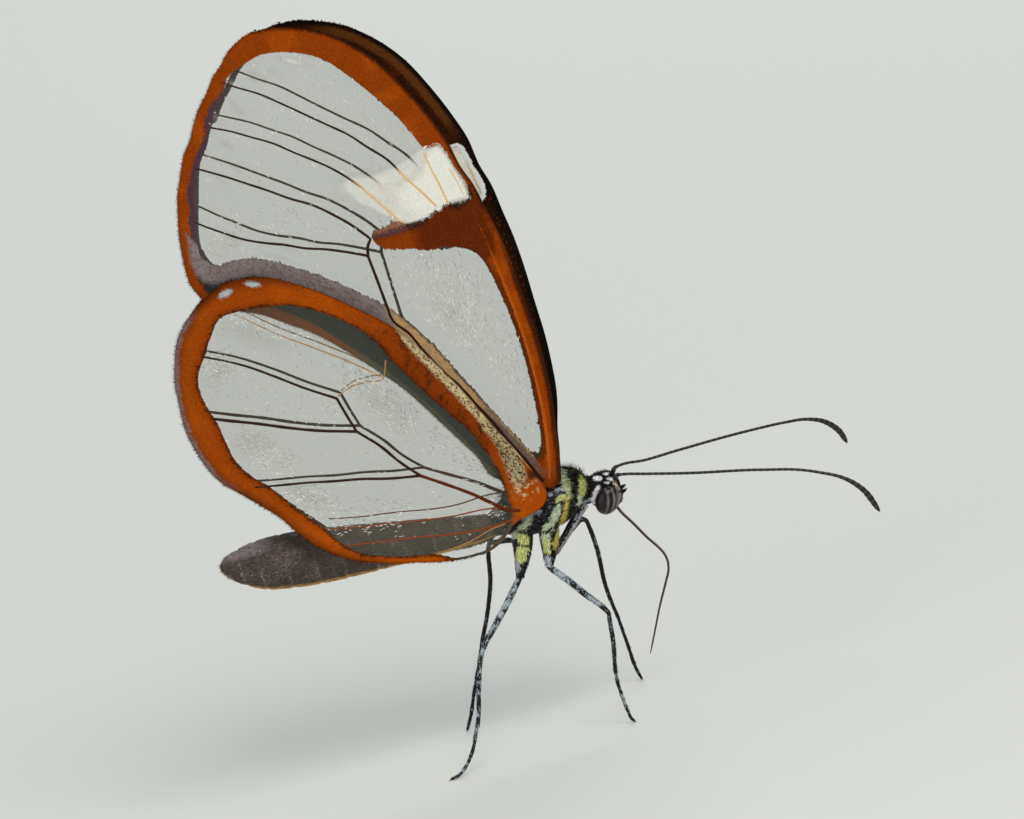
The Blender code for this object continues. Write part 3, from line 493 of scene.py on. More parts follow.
def forewing_inner_paint(settings, points, edge, draw):
    """Colour of the forewing's inner face: brown, black along the front edge and purple at the margin, with a
    painted rusty and umber sheen towards the tip.
    """
    x, z = points.T
    middle = ease(0.2, 0.34, edge) * ease(0.78, 0.6, edge) * ease(-6.2, -4.2, x)
    return mix_paint(
        even_paint(points, settings.brown),
        # Painted sheen: rusty flecks towards the tip
        (0.55 * ease(0.0, 0.8, speckle(points, 0.7, 6)) * ease(31.0, 34.0, z), settings.rusty),
        (0.35 * ease(0.55, 0.9, draw), settings.orange),
        (ease(0.6, 0.25, edge) * ease(-9.0, -7.0, x), settings.black),
        # Painted sheen: umber down the middle of the front band towards the tip
        (0.85 * middle * ease(32.8, 34.5, z), settings.umber_sheen),
        (0.6 * middle * ease(0.72, 0.9, draw) * ease(19.0, 24.0, z), settings.orange),
        (ease(-8.0, -9.5, x), settings.purple))


def forewing_paint(settings, points, outer, draw, side):
    """Colour of the forewing at points, how far inside the clear sheet each point is, and its white.

    draw is a random number for each point from -1 to 1, or 0 on the sheet itself: it breaks
    the edges of the markings scale by scale. The numbers in these rules are shares, and places
    and widths in wing space that were read off the photo.
    """
    window = forewing_window(points, side)
    x, z = points.T
    out = -ragged(window, points, draw, 3)
    edge = FOREWING["edge"](points)
    margin = ease(-9.2, -10.0, x) * ease(28.6, 30.0, z)
    inner = 0.03 + 0.27 * ease(39.4, 38.2, z)
    inner_line = ease(inner + 0.05, inner - 0.03, out + 0.1 * speckle(points, 0.45, 8))
    bar = FOREWING["bar"](points)
    lobe = ease(-1.7, -2.6, x) * ease(-0.25, -0.05, bar)
    top = ease(28.2, 28.9, z) * (z < 30.0) * ease(-2.6, -2.0, x)
    band = ease(-0.1, 0.1, FOREWING["inner_band"](points) + 0.08 * draw)
    rim = (1.0 - band) * (1.0 - margin) * ease(0.1, 0.02, out) * ease(27.5, 26.0, z)
    stripe_line = FOREWING["stripe"](points)
    front_edge = ease(0.6, 0.9, x) * ease(29.0, 26.5, z) * (1.0 - band)
    stripe = ease(0.11 + 0.1 * ease(18.0, 14.5, z), 0.04, stripe_line) * ease(27.5, 24.0, z)
    beside = ease(0.05, 0.02, np.abs(stripe_line - 0.13)) * front_edge * ease(0.33, 0.27, out)
    outer_line = ease(0.24, 0.08, FOREWING["costa"](points) + 0.03 * draw)
    low_line = ease(0.34, 0.2, edge + 0.04 * draw) * ease(27.0, 24.0, z) * ease(0.9, 1.3, x)
    paint = mix_paint(
        even_paint(points, settings.orange),
        (0.35 * ease(0.1, 0.9, speckle(points, 0.9, 5)), settings.bright),
        (margin * inner_line, settings.purple),
        (0.9 * ease(-0.25, 0.15, bar + 0.1 * speckle(points, 0.3, 2)), settings.rusty),
        (0.6 * lobe * ease(28.85, 29.0, z), settings.pink),
        (0.8 * lobe * ease(0.16, 0.08, np.abs(z - 28.78)), settings.purple),
        (0.85 * lobe * ease(28.65, 28.5, z), settings.orange),
        (0.85 * top * ease(0.22, 0.06, out + 0.1 * speckle(points, 0.11, 7)), settings.black),
        (band, trailing_band_paint(settings, points, out, draw)),
        (0.85 * rim, settings.brown),
        (0.7 * front_edge * ease(0.28, 0.2, out), settings.rusty),
        (0.75 * stripe, settings.bright),
        (0.7 * beside, settings.brown),
        (0.85 * outer_line * ease(26.0, 30.0, z), settings.black),
        (0.6 * outer_line * ease(30.0, 26.0, z), settings.brown),
        (0.85 * ease(1.5, 0.4, np.hypot(x - 1.15, z - 13.3)), settings.orange),
        (0.8 * low_line, settings.brown))
    if not outer:
        paint = mix_paint(paint, (0.97, forewing_inner_paint(settings, points, edge, draw)))
    soft = ease(0.2, -1.2, x) * ease(30.4, 31.4, z)
    patch = FOREWING["white"](points) - (0.32 if side > 0 else 0.12)
    white = ease(-0.06 - 0.6 * soft, 0.1 + 1.2 * soft, patch + 0.05 * draw)
    white = white * ease(7.2, 2.2, np.hypot(x - 1.0, z - 30.2) + 0.6 * speckle(points, 0.7, 11) * (x < 0.2))
    return mix_paint(paint, (ease(0.0, 0.05, white), settings.white)), window, white


def hindwing_paint(settings, points, outer, draw, side):
    """Colour of the hindwing at points, how far inside the clear sheet each point is, and no white."""
    window = hindwing_window(points, side)
    x, z = points.T
    out = -ragged(window, points, draw, 13)
    edge = HINDWING["edge"](points)
    low = ease(16.5, 13.5, z) * ease(-4.0, -7.0, x)
    bristle = speckle(points, 0.09, 18)
    outer_edge = edge + 0.1 * bristle + 0.05 * draw
    dash = speckle(np.column_stack((x + 0.75 * z, 2.5 * z - 3.3 * x)) * 0.45, 0.22, 19)
    front_band = ease(-7.5, -3.5, x) * ease(14.0, 17.0, z)
    pale = HINDWING["pale"](points) + 0.06 + 0.07 * speckle(points, 0.2, 23)
    root = ease(18.5, 16.0, z)
    dots = ease(0.0, 0.35, 0.4 * speckle(points, 0.05, 21) + 0.8 * draw + 0.36 - 0.12 * root)
    rim = ease(0.07, 0.02, HINDWING["costa"](points))
    lobe = ease(14.4, 12.9, z) * ease(-1.9, -0.9, x)
    low_dots = ease(0.3, 0.6, speckle(points, 0.12, 22) + 0.4 * draw)
    paint = mix_paint(
        even_paint(points, settings.orange),
        (0.4 * ease(0.0, 0.9, speckle(points, 1.1, 15)), settings.bright),
        (0.55 * low, settings.bright),
        (0.85 * ease(0.15, 0.03, out + 0.05 * bristle), settings.brown),
        (0.3 * ease(0.55, 0.15, np.abs(out - 0.65)), settings.bright),
        (0.5 * ease(0.55, 0.1, outer_edge) * ease(-8.0, -10.0, x), settings.brown),
        (0.6 * ease(0.3, 0.18, outer_edge) * ease(-14.4, -15.2, x) * ease(17.0, 20.0, z), settings.lilac),
        (0.5 * front_band, settings.rusty),
        (0.75 * front_band * ease(0.3, 0.7, dash + 0.3 * draw), settings.brown),
        (0.5 * ease(0.12, 0.02, edge), settings.brown),
        (ease(-0.05, 0.1, pale), settings.rusty),
        (0.75 * root * ease(-0.05, 0.1, pale), settings.brown),
        (ease(-0.1, 0.1, pale) * dots * (0.85 - 0.25 * root), settings.cream),
        # Along the hindwing's front edge: a thin dark line, partly the edge itself and partly painted shade
        # where the forewing meets it, turning near the root into a painted tan highlight
        (0.85 * rim * ease(14.5, 16.5, z), settings.brown),
        (0.8 * rim * ease(17.0, 15.5, z), settings.tan),
        (0.5 * lobe, settings.bright),
        (low_dots * ease(0.9, 0.4, np.hypot(x + 0.35, 1.2 * (z - 13.5))), settings.cream),
        (0.8 * ease(0.42, 0.15, np.hypot(0.9 * (x - 0.25), z - 14.15)), settings.brown),
        (0.7 * ease(-5.4, -4.4, x) * ease(-1.0, -1.9, x) * ease(13.0, 12.4, z), settings.dun),
        (0.9 * blot(points, HINDWING_SPOTS), settings.spot))
    if not outer:
        flecks = 0.4 * ease(0.2, 0.9, speckle(points, 0.6, 26) + 0.4 * draw)
        dark = mix_paint(even_paint(points, settings.brown), (flecks, settings.rusty))
        paint = mix_paint(paint, (0.85, dark))
    return paint, window, np.zeros(len(points))


def wing_outline(front, back):
    """A wing's closed outline, with its front and back edges as x over rising z."""
    front = smooth_line(front, step=0.08)
    back = smooth_line(back, step=0.08)[::-1]
    back[:, 0] += WING_INSET * ease(back[0, 1], back[0, 1] + 3.0, back[:, 1])
    for branch in (front, back):
        branch[:, 1] = np.maximum.accumulate(branch[:, 1] + np.arange(len(branch)) * 1e-6)
    return front, back


def make_wing_plan(front, back, clear, plane, turn, step, **lines):
    """All that the wing's pieces share: edges, markings, middle sheet and the left wing's shift.

    A marking whose line closes on itself becomes the distance inside it, and any other line
    the distance from it.
    """
    front, back = wing_outline(front, back)
    outline = np.vstack((front, back[::-1]))
    low, high = outline.min(0), outline.max(0)
    plan = {"edge": Field(low, high, lambda points: line_distance(points, outline[::4]))}
    for name, line in {"clear": clear, **lines}.items():
        smooth = smooth_line(line, step=0.35)
        measure = inside_distance if line[0] == line[-1] else line_distance
        plan[name] = Field(low, high, lambda points: measure(points, smooth))
    plan.update(front=front, back=back, outline=outline, plane=plane, turn=turn, step=step)
    return plan


# stripe is the bright vein beside the stem's front edge, and costa is the front edge itself
FOREWING = make_wing_plan(FOREWING_FRONT, FOREWING_BACK, FOREWING_CLEAR, forewing_plane,
                          LEFT_FOREWING_TURN, (0.0, -LEFT_FOREWING_DROP), white=FOREWING_WHITE,
                          bar=FOREWING_BAR, trail=FOREWING_TRAIL, stripe=FOREWING_VEINS[6][3],
                          costa=FOREWING_FRONT[3:])
HINDWING = make_wing_plan(HINDWING_FRONT, HINDWING_BACK, HINDWING_CLEAR, hindwing_plane, 0.0,
                          LEFT_HINDWING_STEP, pale=HINDWING_PALE, costa=HINDWING_FRONT[12:])


def forewing_inner_band(points):
    """Distance inside the trailing band: below the clear area's lower edge and inside the margin."""
    x, z = points.T
    upper = np.interp(
        x, (-14.6, -13.9, -13.3, -12.1, -9.6, -7.2, -5.15, -3.95, -2.8, -1.65, -0.5, 0.45, 0.75),
        (31.6, 31.5, 30.4, 29.7, 28.9, 27.2, 25.35, 23.9, 21.95, 19.4, 16.9, 15.0, 13.9))
    left = np.interp(z, (28.0, 28.4, 29.5, 30.5, 31.5), (-13.6, -13.7, -14.05, -14.1, -13.9))
    return np.minimum(0.6 * (upper + 0.1 + 0.3 * ease(-1.5, -3.0, x) - z), x - left)


# stroke and stroke_turn are the slivers' length and turn, and swell lifts the left wing's front edge
FOREWING.update(inner_band=forewing_inner_band, paint=forewing_paint, veils=FOREWING_VEILS,
                hairy=FOREWING_HAIRY, stroke=0.22, stroke_turn=-0.1, veins=FOREWING_VEINS, swell=0.2)
HINDWING.update(paint=hindwing_paint, veils=HINDWING_VEILS, hairy=HINDWING_HAIRY, stroke=0.17,
                stroke_turn=-0.25, veins=HINDWING_VEINS, swell=0.0)
WINGS = {"wing_fore": FOREWING, "wing_hind": HINDWING}


def add_object(name, data):
    """A new object in the scene."""
    made = bpy.data.objects.new(name, data)
    bpy.context.scene.collection.objects.link(made)
    return made


def make_piece(name, points, faces, material, nodes=(), fields=None, paint=None, plan=None):
    """A smooth mesh object from arrays in millimetres, riding on the body and standing for its nodes.

    faces is a list of index arrays, one for each number of corners. fields holds a value for
    each point by its name, paint a colour for each, and plan its place on the flat unwrap.
    """
    mesh = bpy.data.meshes.new(name)
    corners = np.concatenate([block.ravel() for block in faces]).astype(np.int32)
    counts = np.concatenate([np.full(len(block), block.shape[1]) for block in faces])
    starts = np.concatenate(([0], np.cumsum(counts)[:-1])).astype(np.int32)
    mesh.vertices.add(len(points))
    mesh.vertices.foreach_set("co", (points * MM).astype(np.float32).ravel())
    mesh.loops.add(len(corners))
    mesh.loops.foreach_set("vertex_index", corners)
    mesh.polygons.add(len(counts))
    mesh.polygons.foreach_set("loop_start", starts)
    mesh.update(calc_edges=True)
    mesh.validate()
    mesh.shade_smooth()
    layers = [(field, "FLOAT", "value", values) for field, values in (fields or {}).items()]
    if paint is not None:
        layers.append(("paint", "FLOAT_COLOR", "color", np.column_stack((paint, np.ones(len(paint))))))
    for field, kind, key, values in layers:
        layer = mesh.attributes.new(field, kind, "POINT")
        layer.data.foreach_set(key, np.asarray(values, np.float32).ravel())
    if plan is not None:
        layer = mesh.uv_layers.new(name=COAT_MAP)
        index = np.empty(len(mesh.loops), np.int32)
        mesh.loops.foreach_get("vertex_index", index)
        layer.data.foreach_set("uv", plan[index].astype(np.float32).ravel())
    mesh.materials.append(material)
    piece = add_object(name, mesh)
    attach(piece, ROOT_BODY)
    if nodes:
        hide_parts(*nodes)
    return piece


def grid_faces(rows, columns, around=False):
    """Corner indices of a grid of points, row by row, closed along its rows if around is set."""
    steps = columns if around else columns - 1
    row, column = np.meshgrid(np.arange(rows - 1), np.arange(steps), indexing="ij")
    ahead = (column + 1) % columns
    return np.stack((row * columns + column, row * columns + ahead,
                     (row + 1) * columns + ahead, (row + 1) * columns + column), -1).reshape(-1, 4)


def closed_faces(rings, sides):
    """Quads between rings of points, and triangles to the two points that follow and close the ends."""
    index = np.arange(sides)
    after = (index + 1) % sides
    first = np.full(sides, rings * sides)
    last = (rings - 1) * sides
    caps = np.vstack((np.column_stack((first, after, index)),
                      np.column_stack((first + 1, last + index, last + after))))
    return grid_faces(rings, sides, around=True), caps


def make_tube(line, radii, sides, flat=1.0, across=(0.0, 1.0, 0.0)):
    """A tube along a line, closed by a point at each end, with the direction out of each point.

    Each ring is radius times (cosine, sine) on two axes square to the line: one square to the
    across direction, and one between, which flat narrows.
    """
    line = np.asarray(line, float)
    radii = np.broadcast_to(radii, len(line))
    tangent = unit(np.gradient(line, axis=0))
    first = unit(np.cross(tangent, across))
    second = np.cross(first, tangent)
    angle = np.arange(sides) * 2.0 * math.pi / sides
    out = (first[:, None] * np.cos(angle)[None, :, None]
           + flat * second[:, None] * np.sin(angle)[None, :, None])
    points = (line[:, None] + radii[:, None, None] * out).reshape(-1, 3)
    tips = (line[0] - tangent[0] * radii[0] * 0.5, line[-1] + tangent[-1] * radii[-1] * 0.5)
    points = np.vstack((points, *tips))
    return points, *closed_faces(len(line), sides), unit(out.reshape(-1, 3))


def join_parts(parts):
    """Several (points, quads, triangles, more) as one set of arrays."""
    shift = np.cumsum([0] + [len(part[0]) for part in parts[:-1]])
    quads = np.vstack([part[1] + offset for part, offset in zip(parts, shift)])
    caps = np.vstack([part[2] + offset for part, offset in zip(parts, shift)])
    return np.vstack([part[0] for part in parts]), quads, caps


BLADE_POINTS = 6
BLADE_FACES = np.array(((0, 1, 3, 2), (2, 3, 5, 4)))


def make_blades(roots, lies, ups, lengths, widths, lifts, droop, shape, sink=0.01):
    """Flat blades of six points each, two quads long.

    A blade starts a little under its root, leans off the surface by its lift and droops back
    towards it; its half widths at root, middle and tip are shares of its width.
    """
    count = len(roots)
    side = unit(np.cross(ups, lies))
    lifts = np.broadcast_to(lifts, count)
    rows = []
    place = roots - sink * ups
    for level, lift in enumerate((lifts, lifts * (1.0 - droop), None)):
        half = (0.5 * widths * shape[level])[:, None] * side
        rows += [place - half, place + half]
        if lift is not None:
            lean = lies * np.cos(lift)[:, None] + ups * np.sin(lift)[:, None]
            place = place + 0.5 * lengths[:, None] * lean
    points = np.stack(rows, 1).reshape(-1, 3)
    faces = (np.arange(count)[:, None, None] * BLADE_POINTS + BLADE_FACES).reshape(-1, 4)
    return points, faces


def blade_plan(spots):
    """Each blade's patch on the unwrap, TUFT_PATCH across, round its root's spot."""
    steps = np.array(((-0.5, -0.5), (0.5, -0.5), (-0.5, 0.0), (0.5, 0.0), (-0.5, 0.5), (0.5, 0.5)))
    return (spots[:, None] + steps * TUFT_PATCH).reshape(-1, 2)


def make_coat(name, points, faces, material, tone, plan, paint=None):
    """A piece of blades from a tone, a place on the unwrap and perhaps a colour for each blade."""
    make_piece(name, points, [faces], material, fields={"tone": np.repeat(tone, BLADE_POINTS)},
               paint=None if paint is None else np.repeat(paint, BLADE_POINTS, 0), plan=plan)


class Value:
    """A node's output, so that shader sums are written as Python expressions."""

    def __init__(self, finish, socket):
        self.finish = finish
        self.socket = socket

    def maths(self, operation, *others):
        """A Math node on this value and others."""
        inputs = dict(enumerate((self, *others)))
        return self.finish.node("ShaderNodeMath", {"operation": operation}, inputs)

    def __add__(self, other):
        return self.maths("ADD", other)

    def __sub__(self, other):
        return self.maths("SUBTRACT", other)

    def __rsub__(self, other):
        return (self * -1.0) + other

    def __mul__(self, other):
        return self.maths("MULTIPLY", other)

    __radd__ = __add__
    __rmul__ = __mul__

    def ease(self, low, high):
        """0 at low, 1 at high and an S curve between."""
        settings = {"interpolation_type": "SMOOTHSTEP"}
        falling = low > high
        ends = (high, low) if falling else (low, high)
        sockets = {0: self, 1: ends[0], 2: ends[1], 3: 0.0, 4: 1.0}
        eased = self.finish.node("ShaderNodeMapRange", settings, sockets)
        return 1.0 - eased if falling else eased

    def tint(self, factor, other):
        """This colour mixed towards another by a factor."""
        return self.finish.mix(factor, self, other)

    def shade(self, factor):
        """This colour scaled by a number."""
        return self.finish.node("ShaderNodeVectorMath", {"operation": "SCALE"}, {0: self, 3: factor})


class Finish:
    """A material with a Principled shader, and short ways to add nodes to it."""

    def __init__(self, name, **sockets):
        self.material = bpy.data.materials.new(name)
        self.material.use_nodes = True
        self.tree = self.material.node_tree
        self.shader = self.tree.nodes["Principled BSDF"]
        self.set(**sockets)

    def connect(self, socket, value):
        """Link a value to a socket, or set the socket's own number or colour."""
        if isinstance(value, Value):
            self.tree.links.new(value.socket, socket)
        elif hasattr(socket.default_value, "__len__") and hasattr(value, "__len__"):
            socket.default_value = tuple(value) + (1.0,) * (len(socket.default_value) - len(value))
        else:
            socket.default_value = value

    def node(self, kind, settings=None, inputs=None, output=0):
        """A node of a kind, its settings made first, then its sockets by name or number."""
        made = self.tree.nodes.new(kind)
        for name, value in (settings or {}).items():
            setattr(made, name, value)
        for key, value in (inputs or {}).items():
            self.connect(made.inputs[key], value)
        return Value(self, made.outputs[output])

    def mix(self, factor, low, high):
        """A colour between two, by a factor."""
        return self.node("ShaderNodeMix", {"data_type": "RGBA"}, {0: factor, 6: low, 7: high}, output=2)

    def field(self, name):
        """A number that the piece carries at its points."""
        return self.node("ShaderNodeAttribute", {"attribute_name": name}, output="Fac")

    def paint(self):
        """The colour that the piece carries at its points."""
        return self.node("ShaderNodeAttribute", {"attribute_name": "paint"}, output="Color")

    def place(self):
        """The point in the object's own space, in millimetres."""
        where = self.node("ShaderNodeTexCoord", output="Object")
        return self.node("ShaderNodeVectorMath", {"operation": "SCALE"}, {0: where, 3: 1.0 / MM})

    def noise(self, scale, detail=2.0, stretch=(1.0, 1.0, 1.0)):
        """Noise from 0 to 1 with this many waves to a millimetre."""
        where = self.node("ShaderNodeVectorMath", {"operation": "MULTIPLY"}, {0: self.place(), 1: stretch})
        return self.node("ShaderNodeTexNoise", None, {"Vector": where, "Scale": scale, "Detail": detail})

    def cells(self, scale):
        """Distance from the nearest of many scattered points, this many to a millimetre."""
        return self.node("ShaderNodeTexVoronoi", None, {"Vector": self.place(), "Scale": scale},
                         output="Distance")

    def bump(self, height, depth, strength=1.0):
        """A bumped normal; depth is in millimetres."""
        return self.node("ShaderNodeBump", None,
                         {"Height": height, "Distance": depth * MM, "Strength": strength}, output="Normal")

    def set(self, **sockets):
        """Shader sockets by name, with underscores for spaces."""
        for name, value in sockets.items():
            self.connect(self.shader.inputs[name.replace("_", " ")], value)


def wing_sheet_finish(settings):
    """The wing's own sheet: clear film with fine pleats, and the ground under the scales."""
    finish = Finish("wing_membrane", IOR=1.45, Coat_Roughness=0.12, Specular_IOR_Level=0.1)
    grain = finish.noise(9.0, detail=3.0)
    fine = finish.noise(30.0, detail=2.0, stretch=(1.0, 1.0, 0.35))
    clear = (finish.field("window") + (grain - 0.5) * 0.12).ease(-0.02, 0.02)
    veil = finish.field("veil")
    film = finish.mix(veil.ease(0.0, 0.9), settings.film, settings.white)
    ground = finish.paint().shade(0.75 + 0.5 * grain)
    cover = finish.field("cover")
    thin = settings.film_cover + veil * 0.28 + fine.ease(0.55, 0.75) * 0.04
    finish.set(Base_Color=ground.tint(clear * (1.0 - cover.ease(0.0, 0.1)), film),
               Alpha=1.0 - clear * (1.0 - cover) * (1.0 - thin),
               Roughness=0.62 - clear * 0.36,
               Coat_Weight=clear * 0.6,
               Normal=finish.bump(fine + grain * 0.6, depth=0.02, strength=0.6))
    return finish.material


def scale_finish(name, roughness, gloss):
    """Scales: their own colour, a grain along them and a gloss."""
    finish = Finish(name, Specular_IOR_Level=gloss)
    grain = finish.noise(26.0, detail=2.0, stretch=(1.0, 1.0, 0.4))
    tone = finish.field("tone")
    finish.set(Base_Color=finish.paint().shade((0.72 + 0.5 * grain) * tone),
               Roughness=roughness + 0.2 * (grain - 0.5),
               Normal=finish.bump(grain, depth=0.008, strength=0.7))
    return finish.material


def sliver_finish():
    """The fine pale hairs that glint on the clear sheet."""
    finish = Finish("wing_slivers", Specular_IOR_Level=0.6, Roughness=0.3)
    finish.set(Base_Color=finish.mix(finish.field("tone"), (0.68, 0.68, 0.6), (1.0, 1.0, 0.96)))
    return finish.material


def wing_box(plan):
    """Lowest corner and size of a wing's outline."""
    low = plan["outline"].min(0)
    return low, plan["outline"].max(0) - low


def wing_unwrap(plan, points, outer):
    """A wing point's spot on the flat unwrap: the outer face on the left half, the inner on the right."""
    low, size = wing_box(plan)
    share = np.clip((points - low) / size, 0.0, 1.0)
    across = UNWRAP_EDGE + WING_UNWRAP_SPAN * share[:, 0]
    return np.column_stack((across if outer else 0.5 + across, UNWRAP_EDGE + UNWRAP_SPAN * share[:, 1]))


def on_sheet(plan, side, points, height):
    """Spots at a height off the pleated sheet, in the butterfly's space.

    The pleats are slow waves of the sheet off its middle surface that fade out at its edge.
    """
    pleats = 0.05 * speckle(points, 2.6, 31) + 0.02 * speckle(points, 1.0, 32)
    return wing_place(plan, side, points, pleats * ease(0.0, 1.0, plan["edge"](points)) + height)


def edges_at(plan, z):
    """The wing's back and front edge at each height, as x."""
    return tuple(np.interp(z, plan[key][:, 1], plan[key][:, 0]) for key in ("back", "front"))


def bunched(count, share):
    """Numbers from 0 to 1 whose steps shrink to both ends: even ones, with a share of a cosine's."""
    even = np.linspace(0.0, 1.0, count)
    return (1.0 - share) * even + share * 0.5 * (1.0 - np.cos(math.pi * even))


def make_wing_sheet(name, plan, side, settings, material):
    """A wing's thin closed shell: rows of chords between its edges, on both faces, with a rim."""
    step = settings.row_step / MM
    low, size = wing_box(plan)
    rows = int(size[1] / step)
    columns = int(size[0] / step)
    z = low[1] + TIP_ROOM + (size[1] - 2.0 * TIP_ROOM) * bunched(rows, 0.65)
    left, right = edges_at(plan, z)
    across = left[:, None] + (right - left)[:, None] * bunched(columns, 0.2)
    flat = np.stack((across, np.repeat(z[:, None], columns, 1)), -1).reshape(-1, 2)
    half = settings.half_thickness / MM * (0.35 + 0.65 * ease(0.0, 0.15, plan["edge"](flat)))
    veil = blot(flat, plan["veils"], core=-0.2)
    points = []
    paints = []
    fields = {"window": [], "veil": [veil, veil], "cover": []}
    for outer in (True, False):
        paint, window, white = plan["paint"](settings, flat, outer, np.zeros(len(flat)), side)
        points.append(on_sheet(plan, side, flat, half if outer else -half))
        paints.append(paint)
        fields["window"].append(window)
        fields["cover"].append(white)
    sheet = grid_faces(rows, columns)
    count = rows * columns
    ring = np.concatenate((np.arange(columns), np.arange(1, rows) * columns + columns - 1,
                           (rows - 1) * columns + np.arange(columns - 2, -1, -1),
                           np.arange(rows - 2, 0, -1) * columns))
    after = np.roll(ring, -1)
    rim = np.column_stack((ring, ring + count, after + count, after))
    faces = np.vstack((sheet, sheet[:, ::-1] + count, rim))
    make_piece(f"{name}_sheet", np.vstack(points), [faces[:, ::-side]], material, [name],
               {key: np.concatenate(value) for key, value in fields.items()}, np.vstack(paints))


def make_wing_veins(name, plan, side, settings, material):
    """The veins as slim tubes that stand out of both faces of the sheet.

    A dark vein is paler where it crosses the white patch, and on the left wing it runs on to
    the slimmer margin.
    """
    parts = []
    paints = []
    for kind, start, end, knots in plan["veins"]:
        line = smooth_line(knots, step=0.12)
        if side > 0 and kind == "vein" and line[-1, 0] < FAR_VEIN_END:
            line = np.vstack((line, line[-1] + FAR_VEIN_REACH * unit(line[-1] - line[-2])))
        radii = np.linspace(start, end, len(line)) * (1.0 + 0.12 * speckle(line, 0.5, 41))
        flat_line = np.column_stack((line, np.zeros(len(line))))
        tube, quads, caps, _ = make_tube(flat_line, radii, sides=8, across=(0.0, 0.0, 1.0))
        flat = tube[:, :2]
        points = on_sheet(plan, side, flat, VEIN_RELIEF * tube[:, 2])
        parts.append((points, quads[:, ::side], caps[:, ::side]))
        paint = even_paint(flat, getattr(settings, kind))
        if kind == "vein":
            white = plan["paint"](settings, flat, True, np.zeros(len(flat)), side)[2]
            paint = mix_paint(paint, (ease(0.02, 0.25, white), settings.pale_vein))
        paints.append(paint)
    points, quads, caps = join_parts(parts)
    make_piece(f"{name}_veins", points, [quads, caps], material,
               fields={"tone": np.ones(len(points))}, paint=np.vstack(paints))


def scatter(low, size, step, rng):
    """Points about a step apart over a box: a staggered grid, each point moved by a random part."""
    rows = int(size[1] / step)
    columns = int(size[0] / step)
    row, column = np.meshgrid(np.arange(rows), np.arange(columns), indexing="ij")
    spots = np.stack((column + 0.5 * (row % 2), row), -1).reshape(-1, 2) * step
    return low + spots + rng.uniform(-0.38, 0.38, spots.shape) * step


def inside_edges(plan, points, room):
    """True where a point is between the wing's back and front edges by some room."""
    left, right = edges_at(plan, points[:, 1])
    return (points[:, 0] > left + room) & (points[:, 0] < right - room)


def fanned(spots, root, turn):
    """Directions away from a root, each turned by an angle, flat on the sheet."""
    x, z = unit(spots - root).T
    c, s = np.cos(turn), np.sin(turn)
    return np.column_stack((x * c - z * s, z * c + x * s, np.zeros(len(spots))))


def make_wing_scales(name, plan, side, settings, material, rng):
    """Overlapping scales on the coloured bands of both faces, their tips towards the margin.

    A scale is a blade in wing space: its root is scattered over the wing, kept where the sheet
    is covered, and it points away from the wing's root.
    """
    low, size = wing_box(plan)
    half = settings.half_thickness / MM
    for outer in (True, False):
        spots = scatter(low, size, settings.flake_step / MM, rng)
        spots = spots[inside_edges(plan, spots, FLAKE_ROOM)]
        near = plan["clear"](spots) < 0.2
        if "white" in plan:
            near |= plan["white"](spots) > -0.2
        spots = spots[near]
        draw = rng.uniform(-1.0, 1.0, len(spots))
        paint, window, white = plan["paint"](settings, spots, outer, draw, side)
        covered = ragged(window, spots, draw, 3) < 0.0
        kept = covered | (white > rng.uniform(0.45, 1.3, len(spots)))
        spots, paint, pale = spots[kept], paint[kept], ~covered[kept]
        count = len(spots)
        paint = mix_paint(paint, (pale.astype(float), settings.white))
        lies = fanned(spots, WING_ROOT - (0.0, 1.0), 0.25 * rng.standard_normal(count))
        way = 1.0 if outer else -1.0
        ups = np.tile((0.0, 0.0, way), (count, 1))
        lengths = settings.flake_length / MM * rng.uniform(0.75, 1.25, count)
        widths = settings.flake_width / MM * rng.uniform(0.75, 1.2, count)
        roots = np.column_stack((spots, np.full(count, way * half)))
        flat_share = np.where(white[kept] > 0.3, 0.35, 1.0)
        lifts = rng.uniform(0.08, 0.22, count) * flat_share
        points, faces = make_blades(roots, lies, ups, lengths, widths, lifts, droop=0.8,
                                    shape=(0.45, 1.0, 0.75))
        tone = np.clip(1.0 + 0.12 * flat_share * rng.standard_normal(count), 0.6, 1.4)
        make_coat(f"{name}_scales_{'outer' if outer else 'inner'}",
                  on_sheet(plan, side, points[:, :2], points[:, 2]), faces[:, ::side], material,
                  tone, blade_plan(wing_unwrap(plan, spots, outer)), paint)


